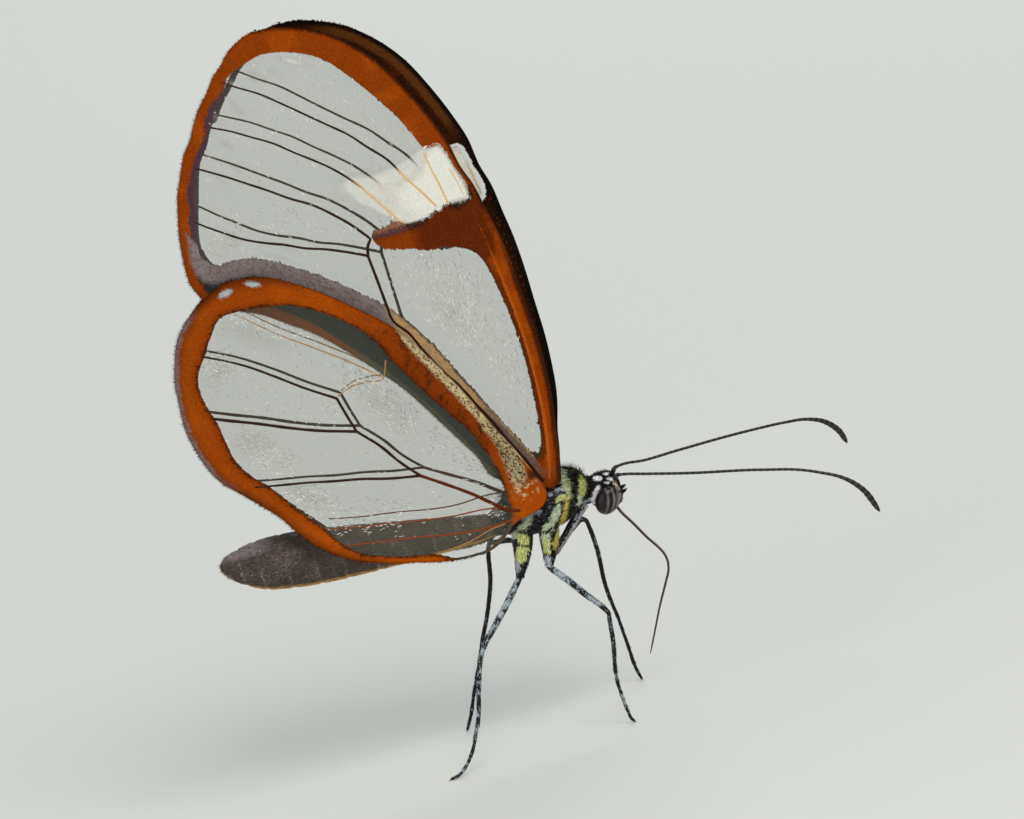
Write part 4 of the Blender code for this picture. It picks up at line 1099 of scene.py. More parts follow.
def make_wing_fringe(name, plan, side, settings, material, rng):
    """Bristles round the margin that point out of it, short along the front edge."""
    outline = plan["outline"]
    ahead = unit(np.roll(outline, -1, 0) - np.roll(outline, 1, 0))
    outward = np.column_stack((ahead[:, 1], -ahead[:, 0]))
    reach = np.concatenate(([0.0], np.cumsum(np.linalg.norm(np.diff(outline, axis=0), axis=1))))
    at = np.arange(0.0, reach[-1], FRINGE_STEP)
    count = len(at)
    at = at + rng.uniform(-0.5 * FRINGE_STEP, 0.5 * FRINGE_STEP, count)
    spots = np.column_stack([np.interp(at, reach, outline[:, i]) for i in (0, 1)])
    lean = np.column_stack([np.interp(at, reach, outward[:, i]) for i in (0, 1)])
    behind = (np.arange(len(outline)) >= len(plan["front"])).astype(float)
    away = unit(spots - WING_ROOT)
    lies = lean * 0.8 + away * 0.45 + 0.2 * rng.standard_normal(lean.shape)
    lies = unit(np.column_stack((lies, np.zeros(count))))
    lengths = settings.fringe_length / MM * rng.uniform(0.5, 1.1, count)
    lengths = lengths * (0.3 + 0.7 * np.interp(at, reach, behind))
    paint = plan["paint"](settings, spots - 0.05 * lean, True, rng.uniform(-1.0, 1.0, count), side)[0]
    paint = mix_paint(paint, (np.where(rng.random(count) < 0.55, 0.85, 0.25), settings.brown))
    ups = np.tile((0.0, 0.0, 1.0), (count, 1))
    roots = np.column_stack((spots - 0.1 * lean, rng.uniform(-0.02, 0.02, count)))
    lifts = rng.uniform(-0.25, 0.25, count)
    blades, faces = make_blades(roots, lies, ups, lengths, np.full(count, FRINGE_WIDTH), lifts, droop=0.5,
                                shape=(1.0, 0.8, 0.2), sink=0.0)
    points = wing_place(plan, side, blades[:, :2], blades[:, 2])
    make_coat(f"{name}_fringe", points, faces, material, rng.uniform(0.7, 1.3, count),
              blade_plan(wing_unwrap(plan, spots, True)), paint)


def make_wing_slivers(name, plan, side, settings, material, rng):
    """Fine pale hairs that lie on the clear sheet, thick where it is hairy, on both faces."""
    low, size = wing_box(plan)
    spots = low + size * rng.random((int(size[0] * size[1] * settings.sliver_density), 2))
    spots = spots[inside_edges(plan, spots, room=0.1)]
    window = plan["clear"](spots)
    patch = blot(spots, plan["hairy"])
    hairy = np.clip(0.04 + patch * (0.9 + 0.5 * speckle(spots, 0.9, 51)), 0.0, 1.0)
    if plan is HINDWING:
        hairy *= ~inside_edges(FOREWING, spots, room=-0.1)
    spots = spots[(window > 0.05) & (hairy > rng.random(len(spots)))]
    count = len(spots)
    outer = rng.random(count) < 0.65
    lies = fanned(spots, WING_ROOT, plan["stroke_turn"] + 0.3 * rng.standard_normal(count))
    ups = np.column_stack((np.zeros((count, 2)), np.where(outer, 1.0, -1.0)))
    roots = np.column_stack((spots, settings.half_thickness / MM * ups[:, 2]))
    lengths = plan["stroke"] * rng.uniform(0.45, 1.2, count)
    widths = rng.uniform(0.022, 0.042, count)
    lifts = rng.uniform(0.05, 0.5, count)
    blades, faces = make_blades(roots, lies, ups, lengths, widths, lifts, droop=0.9,
                                shape=(0.6, 1.0, 0.4), sink=0.004)
    points = on_sheet(plan, side, blades[:, :2], blades[:, 2])
    places = np.where(outer[:, None], wing_unwrap(plan, spots, True), wing_unwrap(plan, spots, False))
    make_coat(f"{name}_slivers", points, faces, material, rng.random(count),
              blade_plan(places))


def wing_sides():
    """Every wing as (name, plan, side)."""
    return [(f"{kind}_{word}", plan, side) for kind, plan in WINGS.items()
            for word, side in (("right", -1), ("left", 1))]


class GLASSWING_OT_wing_sheets(bpy.types.Operator):
    """Make the four wings' clear sheets with their painted ground"""

    bl_idname = "glasswing.wing_sheets"
    bl_label = "Wing sheets"

    def execute(self, context):
        settings = context.scene.glasswing_wings
        material = wing_sheet_finish(settings)
        for name, plan, side in wing_sides():
            make_wing_sheet(name, plan, side, settings, material)
        return {"FINISHED"}


class GLASSWING_OT_wing_veins(bpy.types.Operator):
    """Make the wings' veins"""

    bl_idname = "glasswing.wing_veins"
    bl_label = "Wing veins"

    def execute(self, context):
        settings = context.scene.glasswing_wings
        material = scale_finish("wing_veins", roughness=0.42, gloss=0.1)
        for name, plan, side in wing_sides():
            make_wing_veins(name, plan, side, settings, material)
        return {"FINISHED"}


class GLASSWING_OT_wing_coat(bpy.types.Operator):
    """Make the wings' scales, fringes and fine hairs"""

    bl_idname = "glasswing.wing_coat"
    bl_label = "Wing scales"

    def execute(self, context):
        settings = context.scene.glasswing_wings
        scales = scale_finish("wing_scales", roughness=0.6, gloss=0.0)
        slivers = sliver_finish()
        for index, (name, plan, side) in enumerate(wing_sides()):
            rng = np.random.default_rng(SEED + index)
            make_wing_scales(name, plan, side, settings, scales, rng)
            make_wing_fringe(name, plan, side, settings, scales, rng)
            make_wing_slivers(name, plan, side, settings, slivers, rng)
        return {"FINISHED"}


# Body sections as (x, bottom, widest level, top, half width), from the neck back
THORAX_SECTIONS = (
    (2.68, 11.55, 12.2, 13.1, 0.62), (2.3, 11.35, 12.1, 13.5, 0.98), (1.6, 10.98, 11.9, 13.75, 1.3),
    (0.6, 10.7, 11.6, 13.95, 1.45), (-0.4, 10.65, 11.5, 13.9, 1.45), (-1.4, 10.8, 11.6, 13.4, 1.3),
    (-2.2, 11.05, 11.7, 12.75, 0.96), (-2.75, 11.1, 11.75, 12.4, 0.72),
)
ABDOMEN_SECTIONS = (
    (-2.4, 11.1, 11.7, 12.3, 0.62), (-2.9, 11.08, 11.72, 12.36, 0.62), (-4.2, 10.99, 11.8, 12.61, 0.74),
    (-6.0, 11.02, 12.02, 13.02, 0.88), (-8.0, 11.07, 12.25, 13.43, 0.98), (-10.0, 11.14, 12.5, 13.86, 1.06),
    (-12.0, 11.25, 12.74, 14.23, 1.11), (-14.0, 11.51, 13.0, 14.49, 1.1), (-15.4, 11.84, 13.17, 14.5, 0.98),
    (-16.4, 12.37, 13.35, 14.33, 0.74), (-17.05, 12.88, 13.5, 14.12, 0.48),
    (-17.4, 13.36, 13.6, 13.84, 0.18),
)
ABDOMEN_JOINTS = (-4.3, -5.9, -7.5, -9.2, -10.9, -12.4, -13.9, -15.3, -16.3)
NECK_SECTIONS = ((3.3, 11.1, 11.9, 12.7, 0.5), (2.9, 11.3, 12.0, 12.82, 0.46), (2.3, 11.4, 12.1, 13.1, 0.55))
HEAD_MIDDLE = np.array((3.6, 0.0, 11.8))
HEAD_ROLL = math.radians(12.0)
HEAD_SECTIONS = (
    (0.84, -0.45, 0.1, 0.5, 0.22), (0.68, -0.8, 0.05, 0.82, 0.4), (0.45, -1.0, 0.0, 1.04, 0.47),
    (0.1, -1.08, -0.15, 1.13, 0.5), (-0.3, -1.0, -0.1, 1.12, 0.52), (-0.6, -0.88, 0.0, 1.0, 0.52),
    (-0.8, -0.6, 0.1, 0.75, 0.42),
)
EYE_MIDDLE = (-0.02, 0.74, -0.28)
EYE_RADII = (0.69, 0.52, 0.77)
EYE_SLANT = 0.2
# Hips from the thorax down to the legs, as (sides, line of (x, y, z, radius)); the left hind leg is
# raised, so it has its own
HIPS = (
    ((-1,), (
        (-1.15, 0.55, 11.7, 0.6), (-1.3, 0.88, 11.0, 0.56), (-1.5, 1.0, 10.3, 0.5),
        (-1.75, 1.06, 9.6, 0.38), (-2.0, 1.16, 9.05, 0.25), (-2.1, 1.22, 8.8, 0.2))),
    ((1,), (
        (-1.15, 0.55, 11.7, 0.6), (-1.3, 0.9, 11.0, 0.52), (-1.5, 1.2, 10.5, 0.42),
        (-1.75, 1.5, 10.25, 0.3), (-1.9, 1.75, 10.12, 0.22), (-2.0, 1.9, 10.08, 0.19))),
    ((-1, 1), (
        (0.3, 0.55, 11.7, 0.6), (0.15, 0.92, 11.0, 0.55), (0.0, 1.08, 10.3, 0.5), (-0.18, 1.16, 9.65, 0.38),
        (-0.36, 1.28, 9.15, 0.25), (-0.42, 1.32, 8.95, 0.2))),
)
# Markings of the thorax and head in the side plane, as (colour, reach, line)
BODY_MARKS = (
    ("mint", 0.21, ((1.84, 13.41), (1.77, 13.05), (1.71, 12.66), (1.68, 12.38))),
    ("lime", 0.06, ((1.98, 13.0), (1.92, 12.65), (1.9, 12.4))),
    ("lime", 0.15, ((1.14, 12.31), (1.45, 12.39), (1.76, 12.29))),
    ("mint", 0.21, ((1.1, 11.91), (0.82, 11.52), (0.49, 11.27), (0.09, 10.92), (-0.2, 10.6))),
    ("yellow", 0.14, ((1.55, 12.06), (1.34, 11.6), (1.05, 11.16), (0.73, 10.73), (0.4, 10.3), (0.2, 9.95))),
    ("lime", 0.2, ((-0.1, 10.4), (-0.25, 9.9))),
    ("frost", 0.2, ((-0.38, 9.45), (-0.5, 9.1))),
    ("mint", 0.2, ((-0.5, 12.05), (-0.75, 11.7), (-0.9, 11.35))),
    ("mint", 0.16, ((-1.05, 11.55), (-1.25, 11.4))),
    ("mint", 0.16, ((-1.5, 11.2), (-1.75, 11.1))),
    ("lime", 0.3, ((-1.3, 10.8), (-1.5, 10.3), (-1.75, 9.9))),
    ("frost", 0.2, ((-2.05, 9.6), (-2.2, 9.3))),
    ("frost", 0.12, ((-0.85, 11.9), (-0.3, 12.15), (0.0, 12.05))),
    ("frost", 0.06, ((0.85, 12.65), (0.9, 12.7))),
    ("frost", 0.07, ((1.25, 12.75), (1.32, 12.8))),
    ("frost", 0.05, ((0.62, 13.1), (0.66, 13.15))),
    ("lime", 0.08, ((1.76, 13.66), (1.93, 13.56))),
    ("lime", 0.1, ((2.38, 13.42), (2.6, 13.3))),
    ("lime", 0.19, ((2.75, 13.18), (2.7, 12.87), (2.59, 12.55), (2.44, 12.24))),
    ("mint", 0.12, ((2.3, 12.05), (2.16, 11.74))),
    ("frost", 0.08, ((2.35, 11.75), (2.6, 11.7), (2.75, 11.6))),
    ("frost", 0.1, ((2.3, 11.45), (2.55, 11.35))),
    ("white", 0.085, ((3.3, 12.95), (3.5, 13.02), (3.73, 13.0))),
    ("white", 0.12, ((3.36, 12.64), (3.57, 12.56))),
    ("white", 0.05, ((3.86, 12.75), (4.04, 12.68))),
    ("white", 0.06, ((3.98, 12.43), (4.18, 12.35))),
    ("white", 0.055, ((3.75, 12.3), (3.94, 12.25))),
    ("white", 0.11, ((3.36, 12.17), (3.1, 11.89), (2.9, 11.55), (2.78, 11.2), (2.85, 10.95))),
    ("cream", 0.045, ((4.19, 12.12), (4.27, 11.85), (4.28, 11.65))),
    ("lilac", 0.15, ((4.2, 11.35), (4.1, 11.0), (3.9, 10.9))),
    ("lilac", 0.13, ((-2.1, 11.0), (-2.12, 10.3))),
    ("frost", 0.16, ((2.9, 11.0), (3.3, 10.72), (3.8, 10.62))),
)
# Black seams between the markings
BODY_SEAMS = (
    (0.045, ((1.42, 12.15), (1.15, 11.62), (0.83, 11.2), (0.45, 10.8), (0.15, 10.35))),
    (0.05, ((1.75, 12.42), (1.45, 12.62), (1.2, 12.6))),
    (0.05, ((0.35, 10.95), (0.05, 10.85), (-0.15, 10.9))),
    (0.07, ((-1.85, 10.62), (-1.5, 10.62), (-1.25, 10.45))),
    (0.16, ((-0.75, 11.3), (-0.68, 10.6), (-0.8, 9.8))),
)
# Legs as (node, knots); a knot is (x, y, z, radius)
LEG_LINES = {
    "leg_hind_right": (
        (-2.06, -1.18, 8.98, 0.2), (-2.2, -1.25, 8.72, 0.17), (-2.55, -1.55, 8.36, 0.19),
        (-3.0, -1.95, 7.92, 0.185), (-4.0, -2.75, 7.02, 0.175), (-4.9, -3.48, 6.2, 0.14),
        (-5.1, -3.7, 5.95, 0.115), (-5.3, -3.86, 5.6, 0.125), (-5.75, -4.2, 4.4, 0.125),
        (-6.41, -4.65, 2.45, 0.11), (-6.62, -4.76, 2.05, 0.1), (-7.0, -4.95, 1.3, 0.095),
        (-7.65, -5.13, 0.5, 0.09), (-8.1, -5.22, 0.18, 0.085), (-8.6, -5.3, 0.085, 0.07)),
    "leg_mid_right": (
        (-0.4, -1.3, 9.1, 0.2), (-0.38, -1.34, 8.88, 0.17), (-0.1, -1.6, 8.55, 0.185),
        (0.3, -1.92, 8.1, 0.185), (1.1, -2.6, 7.13, 0.17), (1.85, -3.25, 6.28, 0.14),
        (2.0, -3.4, 6.02, 0.115), (1.95, -3.52, 5.6, 0.12), (1.83, -3.65, 4.6, 0.12),
        (1.47, -3.88, 2.9, 0.105), (1.42, -3.94, 2.5, 0.095), (1.43, -4.05, 1.6, 0.09),
        (1.5, -4.16, 0.7, 0.085), (1.58, -4.22, 0.25, 0.08), (1.7, -4.26, 0.08, 0.065)),
    "leg_hind_left": (
        (-1.9, 1.78, 10.16, 0.17), (-2.05, 2.05, 10.12, 0.14), (-2.3, 2.45, 10.12, 0.15),
        (-2.6, 2.95, 10.06, 0.15), (-3.1, 3.85, 9.92, 0.14), (-3.45, 4.55, 9.78, 0.13),
        (-3.6, 4.8, 9.52, 0.115), (-3.72, 4.92, 9.1, 0.12), (-4.0, 5.05, 7.8, 0.12),
        (-4.7, 5.15, 6.0, 0.11), (-5.5, 5.2, 4.4, 0.105), (-5.7, 5.22, 3.95, 0.095),
        (-6.5, 5.25, 2.3, 0.09), (-7.35, 5.28, 0.5, 0.085), (-7.6, 5.3, 0.08, 0.065)),
    "leg_mid_left": (
        (-0.38, 1.32, 9.12, 0.2), (-0.2, 1.55, 9.0, 0.17), (0.05, 1.95, 9.1, 0.185),
        (0.35, 2.4, 9.25, 0.185), (1.1, 3.45, 9.55, 0.17), (1.75, 4.3, 9.68, 0.14), (1.9, 4.52, 9.5, 0.115),
        (1.95, 4.66, 9.1, 0.12), (2.0, 4.85, 7.8, 0.12), (1.85, 5.0, 5.6, 0.11), (1.9, 5.08, 4.6, 0.105),
        (1.95, 5.1, 4.2, 0.095), (2.05, 5.18, 2.3, 0.09), (2.15, 5.24, 0.5, 0.085),
        (2.25, 5.25, 0.08, 0.065)),
    "leg_fore_right": (
        (2.4, -0.55, 11.45, 0.17), (2.2, -0.6, 11.3, 0.165), (1.7, -0.64, 10.83, 0.165),
        (1.2, -0.62, 10.36, 0.16), (0.8, -0.6, 9.98, 0.14), (0.4, -0.58, 9.6, 0.115),
        (0.1, -0.56, 9.33, 0.09), (-0.1, -0.55, 9.2, 0.045)),
}
LEG_LINES["leg_fore_left"] = tuple((x, -y, z, radius) for x, y, z, radius in LEG_LINES["leg_fore_right"])
TARSUS_START = 0.66
TARSUS_PARTS = 5
ANTENNA_LINES = {
    "antenna_right": (
        (4.22, -0.36, 12.28), (4.45, -0.5, 12.52), (4.75, -0.6, 12.5), (6.0, -0.8, 12.2),
        (8.05, -1.1, 11.69), (12.1, -1.8, 10.83), (14.2, -2.12, 10.25), (15.12, -2.25, 9.85),
        (16.0, -2.35, 9.38), (16.52, -2.4, 8.95), (17.05, -2.45, 8.25), (17.4, -2.5, 7.3),
        (17.5, -2.5, 6.98)),
    "antenna_left": (
        (4.2, 0.2, 12.5), (4.42, 0.24, 12.78), (4.75, 0.34, 12.82), (6.0, 0.7, 12.63), (7.93, 1.3, 12.5),
        (11.86, 2.6, 12.15), (13.83, 3.3, 11.87), (14.81, 3.7, 11.65), (15.79, 4.05, 11.14),
        (16.38, 4.3, 10.39), (16.62, 4.4, 9.6)),
}
ANTENNA_PARTS = 46
PROBOSCIS_LINE = (
    (3.9, 0.0, 10.85), (4.08, 0.0, 10.4), (4.5, 0.0, 9.65), (5.05, 0.0, 8.6), (5.45, 0.0, 7.95),
    (5.65, 0.0, 7.5), (5.7, 0.0, 7.15), (5.6, 0.0, 6.6), (5.3, 0.0, 6.05), (4.6, 0.0, 4.85),
    (4.0, 0.0, 3.7), (3.35, 0.0, 2.45),
)
# Palps as places in the head's own space and radii
PALPS = (
    ((0.35, 0.2, -0.82), (0.56, 0.25, -0.74), (0.68, 0.28, -0.54), (0.73, 0.29, -0.37), (0.86, 0.3, -0.27),
     (1.14, 0.31, -0.15)),
    (0.13, 0.13, 0.105, 0.1, 0.09, 0.05),
)
# The coat's cylindrical unwrap: the body's middle as x and z, its rear end and its length
BODY_MIDDLES = (
    (-17.4, -12.0, -6.0, -2.9, 0.0, 2.5, 3.6, 5.0),
    (13.6, 12.74, 12.02, 11.72, 11.6, 12.1, 11.8, 11.6),
)
BODY_REAR = -17.6
BODY_LENGTH = 22.6
# The thorax's and head's markings reach back to here
MARKS_END = -2.9
EYE_FRONT_COLOUR = (0.30, 0.27, 0.19)
LOFT_STEP = 0.05
SKIN_VOXEL = 0.07


class BodySettings(bpy.types.PropertyGroup):
    """Sizes and colours of the body."""

    scale_length: length_prop("Scale length", "Length of the thorax's scales", 0.17)
    scale_width: length_prop("Scale width", "Width of the thorax's scales", 0.05)
    black: colour_prop("Black", "The ground of head and thorax", 17, 14, 13)
    mint: colour_prop("Mint", "Pale green stripes", 196, 208, 172)
    lime: colour_prop("Lime", "Yellow green patches", 204, 208, 128)
    yellow: colour_prop("Yellow", "The yellow stripe", 194, 176, 78)
    frost: colour_prop("Frost", "Pale bluish hair", 172, 178, 184)
    white: colour_prop("White", "Spots of the head", 250, 250, 250)
    cream: colour_prop("Cream", "The line before the eye", 226, 214, 178)
    belly: colour_prop("Belly", "The abdomen", 84, 72, 64)
    belly_pale: colour_prop("Belly's pale scales", "Lighter flecks on the abdomen", 116, 104, 96)
    ochre: colour_prop("Ochre", "The line under the abdomen", 210, 158, 72)
    lilac: colour_prop("Lilac", "The abdomen's tip and pale hair", 178, 166, 172)
    leg_black: colour_prop("Leg black", "The legs' ground", 20, 20, 23)
    leg_frost: colour_prop("Leg frost", "Pale specks on the legs", 166, 178, 186)
    feeler: colour_prop("Feeler", "Feelers", 16, 13, 12)
    eye_dark: colour_prop("Eye dark", "The eye's ground", 30, 17, 21)
    eye_pale: colour_prop("Eye pale", "Pale bands of the eye", 132, 130, 122)
    eye_rim: colour_prop("Eye rim", "The eye's lower rim", 112, 78, 58)
    tongue: colour_prop("Proboscis", "The proboscis", 34, 24, 22)
    tongue_edge: colour_prop("Proboscis edge", "The lighter front of the proboscis", 152, 120, 90)


def roofed_loft(sections, columns, roof_power):
    """A closed loft through sections across x, as points, quads and triangles.

    At angle a the point is half width times cos a across, and above or below the widest level
    by sin a times the room there; above it the cosine is raised to the roof's power.
    """
    sections = smooth_line(sections, LOFT_STEP)
    angle = np.arange(columns) * 2.0 * math.pi / columns
    up = np.sin(angle)[None, :]
    across = np.cos(angle)
    across = np.where(up > 0.0, np.sign(across) * np.abs(across) ** roof_power, across)
    x, bottom, middle, top, half = sections.T[:, :, None]
    level = middle + np.where(up > 0.0, top - middle, middle - bottom) * up
    points = np.stack((x + 0.0 * up, half * across, level), -1).reshape(-1, 3)
    poles = np.column_stack((sections[(0, -1), 0], (0.0, 0.0), sections[(0, -1), 2]))
    return np.vstack((points, poles)), *closed_faces(len(sections), columns)


def abdomen_loft():
    """The abdomen with a shallow groove at each joint: a bell curve of the distance along x."""
    points, quads, caps = roofed_loft(ABDOMEN_SECTIONS, columns=64, roof_power=0.9)
    x = points[:, 0]
    groove = 0.05 * np.exp(-(joint_distance(x) / 0.09) ** 2)
    middle = np.interp(x, [s[0] for s in ABDOMEN_SECTIONS][::-1], [s[2] for s in ABDOMEN_SECTIONS][::-1])
    off = np.column_stack((np.zeros(len(x)), points[:, 1], points[:, 2] - middle))
    reach = np.linalg.norm(off, axis=1)
    points = points - unit(off) * np.minimum(groove, 0.3 * reach)[:, None]
    return points, quads, caps


def joint_distance(x):
    """Distance of each place along x from the nearest joint of the abdomen."""
    return np.abs(x[:, None] - np.array(ABDOMEN_JOINTS)).min(1)


def head_place(points):
    """The head's own space, middle at zero, to the body's space: a roll about x and a move."""
    c, s = math.cos(HEAD_ROLL), math.sin(HEAD_ROLL)
    x, y, z = points.T
    return np.column_stack((x, y * c - z * s, y * s + z * c)) + HEAD_MIDDLE


def mirror_line(line, side):
    """A line with its y times the side."""
    line = np.array(line, float)
    line[:, 1] *= side
    return line


def body_skin(voxel):
    """Thorax, abdomen, neck, head, hips and palps fused into one closed surface.

    The fusing works in whole millimetres as Blender's units, because a voxel may not be smaller
    than a tenth of a millimetre there. Returns points, quads and normals.
    """
    head = roofed_loft(HEAD_SECTIONS, columns=48, roof_power=1.0)
    parts = [roofed_loft(THORAX_SECTIONS, columns=64, roof_power=1.9), abdomen_loft(),
             roofed_loft(NECK_SECTIONS, columns=40, roof_power=1.0), (head_place(head[0]), *head[1:])]
    for side in (-1, 1):
        for sides, hip in HIPS:
            if side in sides:
                line = smooth_line(mirror_line(hip, side), step=0.1)
                parts.append(make_tube(line[:, :3], line[:, 3], sides=32, flat=0.85))
        line = smooth_line(np.column_stack((mirror_line(PALPS[0], side), PALPS[1])), step=0.04)
        tube = make_tube(line[:, :3], line[:, 3], sides=20)
        parts.append((head_place(tube[0]), *tube[1:]))
    points, quads, caps = join_parts(parts)
    mesh = bpy.data.meshes.new("body_rough")
    mesh.from_pydata(points.tolist(), [], quads.tolist() + caps.tolist())
    rough = add_object("body_rough", mesh)
    remesh = rough.modifiers.new("fuse", "REMESH")
    remesh.mode = "VOXEL"
    remesh.voxel_size = voxel
    smooth = rough.modifiers.new("smooth", "SMOOTH")
    smooth.factor = 0.5
    smooth.iterations = 3
    graph = bpy.context.evaluated_depsgraph_get()
    fused = bpy.data.meshes.new_from_object(rough.evaluated_get(graph))
    bpy.data.objects.remove(rough, do_unlink=True)
    arrays = []
    for key in ("co", "normal"):
        values = np.empty(len(fused.vertices) * 3, np.float32)
        fused.vertices.foreach_get(key, values)
        arrays.append(values.reshape(-1, 3).astype(float))
    corners = np.empty(len(fused.loops), np.int32)
    fused.loops.foreach_get("vertex_index", corners)
    bpy.data.meshes.remove(fused)
    bpy.data.meshes.remove(mesh)
    return arrays[0], corners.reshape(-1, 4), arrays[1]


def belly_paint(settings, points, draw):
    """Colour of the abdomen: flecked brown, ochre below, with pale joints, back edge and tip."""
    x, _, z = points.T
    line_level = np.interp(x, (-17.3, -16.7, -15.2, -13.0, -8.0, -3.0),
                           (13.3, 12.5, 11.85, 11.45, 11.12, 11.1))
    low_half = ease(0.5, -0.3, z - np.interp(x, (-17.2, -12.0, -8.0), (13.5, 12.74, 12.25)))
    top_edge = ease(0.9, 1.2, z - np.interp(x, (-17.2, -14.0, -8.0), (12.9, 13.0, 12.25)))
    joints = (0.1 + 0.45 * low_half) * ease(0.07, 0.03, joint_distance(x)) * ease(-0.6, 0.4, draw)
    return mix_paint(
        even_paint(points, settings.belly),
        (ease(0.1, 0.9, 0.5 * draw + 0.6 * speckle(points, 0.5, 62)), settings.belly_pale),
        (0.9 * ease(0.17, 0.08, z - line_level + 0.03 * draw), settings.ochre),
        (joints, settings.lilac),
        (0.5 * ease(0.35, 0.12, np.hypot(x + 17.2, z - 13.0)), settings.lilac),
        (0.35 * top_edge * ease(-14.0, -15.5, x), settings.lilac))


def body_paint(settings, points, draw):
    """Colour of the body at points: black, with stripes and spots drawn in the side plane.

    The markings are the same on both sides. draw breaks their edges scale by scale.
    """
    side = np.column_stack((points[:, 0], points[:, 2]))
    x = points[:, 0]
    paint = even_paint(points, settings.black)
    flank = ease(0.12, 0.35, np.abs(points[:, 1]))
    rag = (0.045 * draw + 0.05 * speckle(side, 0.16, 61)) * (1.0 - 0.6 * ease(2.8, 3.1, x))
    fore = x > MARKS_END
    layers = []
    for name, reach, line in BODY_MARKS:
        distance = line_distance(side[fore], np.asarray(line)) + rag[fore]
        layers.append((ease(reach + 0.03, reach - 0.03, distance) * flank[fore], getattr(settings, name)))
    for reach, line in BODY_SEAMS:
        distance = line_distance(side[fore], np.asarray(line)) + 0.6 * rag[fore]
        layers.append((ease(reach + 0.02, reach - 0.02, distance), settings.black))
    paint[fore] = mix_paint(paint[fore], *layers)
    flecks = ease(0.5, 0.75, draw) * (x < 2.3)
    return mix_paint(paint, (0.25 * flecks * fore, settings.frost),
                     (ease(-2.3, -3.0, x), belly_paint(settings, points, draw)))


def body_lie(points):
    """The way the coat lies: back along the body, down the sides, down the hips and up the face."""
    x, _, z = points.T
    lies = np.tile((-1.0, 0.0, -0.35), (len(x), 1))
    lies[x < -2.6] = (-1.0, 0.0, -0.05)
    lies[(z < 10.9) & (x > -2.6) & (x < 1.5)] = (-0.3, 0.0, -1.0)
    lies[x > 2.95] = (-0.6, 0.0, 0.3)
    lies[(x > 4.2) & (z < 12.2)] = (0.6, 0.0, 0.5)
    return lies


def spots_on(points, quads, normals, density, rng, keep):
    """Random spots over the kept part of a surface, with their normals: even in area, by triangles."""
    triangles = np.vstack((quads[:, :3], quads[:, (0, 2, 3)]))
    triangles = triangles[keep(points[triangles].mean(1))]
    a, b, c = (points[triangles[:, i]] for i in range(3))
    area = np.linalg.norm(np.cross(b - a, c - a), axis=1)
    pick = rng.choice(len(triangles), int(density * 0.5 * area.sum()), p=area / area.sum())
    u, v = rng.random((2, len(pick)))
    over = u + v > 1.0
    u, v = np.where(over, 1.0 - u, u), np.where(over, 1.0 - v, v)
    w = 1.0 - u - v
    place = w[:, None] * a[pick] + u[:, None] * b[pick] + v[:, None] * c[pick]
    ways = (w[:, None] * normals[triangles[pick, 0]] + u[:, None] * normals[triangles[pick, 1]]
            + v[:, None] * normals[triangles[pick, 2]])
    return place, unit(ways)


def on_surface(lies, ups):
    """Directions pressed flat onto the surface."""
    return unit(lies - (lies * ups).sum(1)[:, None] * ups)


def body_unwrap(points):
    """A spot of the skin on its cylindrical unwrap: along x by length, round it by angle."""
    x, y, z = points.T
    angle = np.arctan2(z - np.interp(x, *BODY_MIDDLES), y) / (2.0 * math.pi) + 0.5
    return np.column_stack((UNWRAP_EDGE + UNWRAP_SPAN * (x - BODY_REAR) / BODY_LENGTH,
                            UNWRAP_EDGE + UNWRAP_SPAN * angle))


def coat_piece(name, settings, skin, material, rng, density, sizes, looks, keep):
    """A coat of blades over part of the skin that carries the skin's own paint.

    skin is (points, quads, normals), sizes a blade's length, width and lift, and keep tells
    which places the coat covers. looks is the spread of the blades' directions, the ranges
    that their length, width and lift are multiplied by, and their shape and droop.
    """
    length, width, lift = sizes
    spread, long_range, wide_range, lift_range, shape, droop = looks
    spots, ups = spots_on(*skin, density, rng, keep)
    count = len(spots)
    lies = on_surface(body_lie(spots) + spread * rng.standard_normal(spots.shape), ups)
    lengths = length * rng.uniform(*long_range, count)
    widths = width * rng.uniform(*wide_range, count)
    lifts = lift * rng.uniform(*lift_range, count)
    paint = body_paint(settings, spots, rng.uniform(-1.0, 1.0, count))
    points, faces = make_blades(spots, lies, ups, lengths, widths, lifts, droop, shape)
    tone = np.clip(1.0 + 0.3 * rng.standard_normal(count), 0.4, 1.6)
    make_coat(name, points, faces, material, tone, blade_plan(body_unwrap(spots)), paint)


def skin_finish():
    """The skin under the scales: its paint, rough, with a fine grain."""
    finish = Finish("body_skin", Roughness=0.7, Specular_IOR_Level=0.3)
    grain = finish.noise(14.0, detail=3.0, stretch=(0.4, 1.0, 1.0))
    finish.set(Base_Color=finish.paint().shade(0.55 + 0.5 * grain),
               Normal=finish.bump(grain, depth=0.03, strength=0.8))
    return finish.material


# How a coat's blades look, as coat_piece explains
SCALE_LOOKS = (0.22, (0.7, 1.3), (0.75, 1.25), (0.5, 1.3), (0.6, 1.0, 0.45), 0.75)
HAIR_LOOKS = (0.3, (0.5, 1.15), (0.016, 0.03), (0.5, 1.2), (1.0, 0.8, 0.12), 0.6)
# Areas of short scales as (name, slot, scales to a square millimetre, share of the length, share of
# the width, lift, where)
SCALE_AREAS = (
    ("abdomen_scales", "abdomen_scales", 190, 0.95, 1.25, 0.30, lambda p: p[:, 0] < -2.5),
    ("thorax_scales", "body_scales", 330, 1.0, 1.0, 0.42, lambda p: (p[:, 0] >= -2.5) & (p[:, 0] < 2.9)),
    ("head_scales", "body_scales", 520, 0.62, 0.75, 0.5, lambda p: p[:, 0] >= 2.9),
)
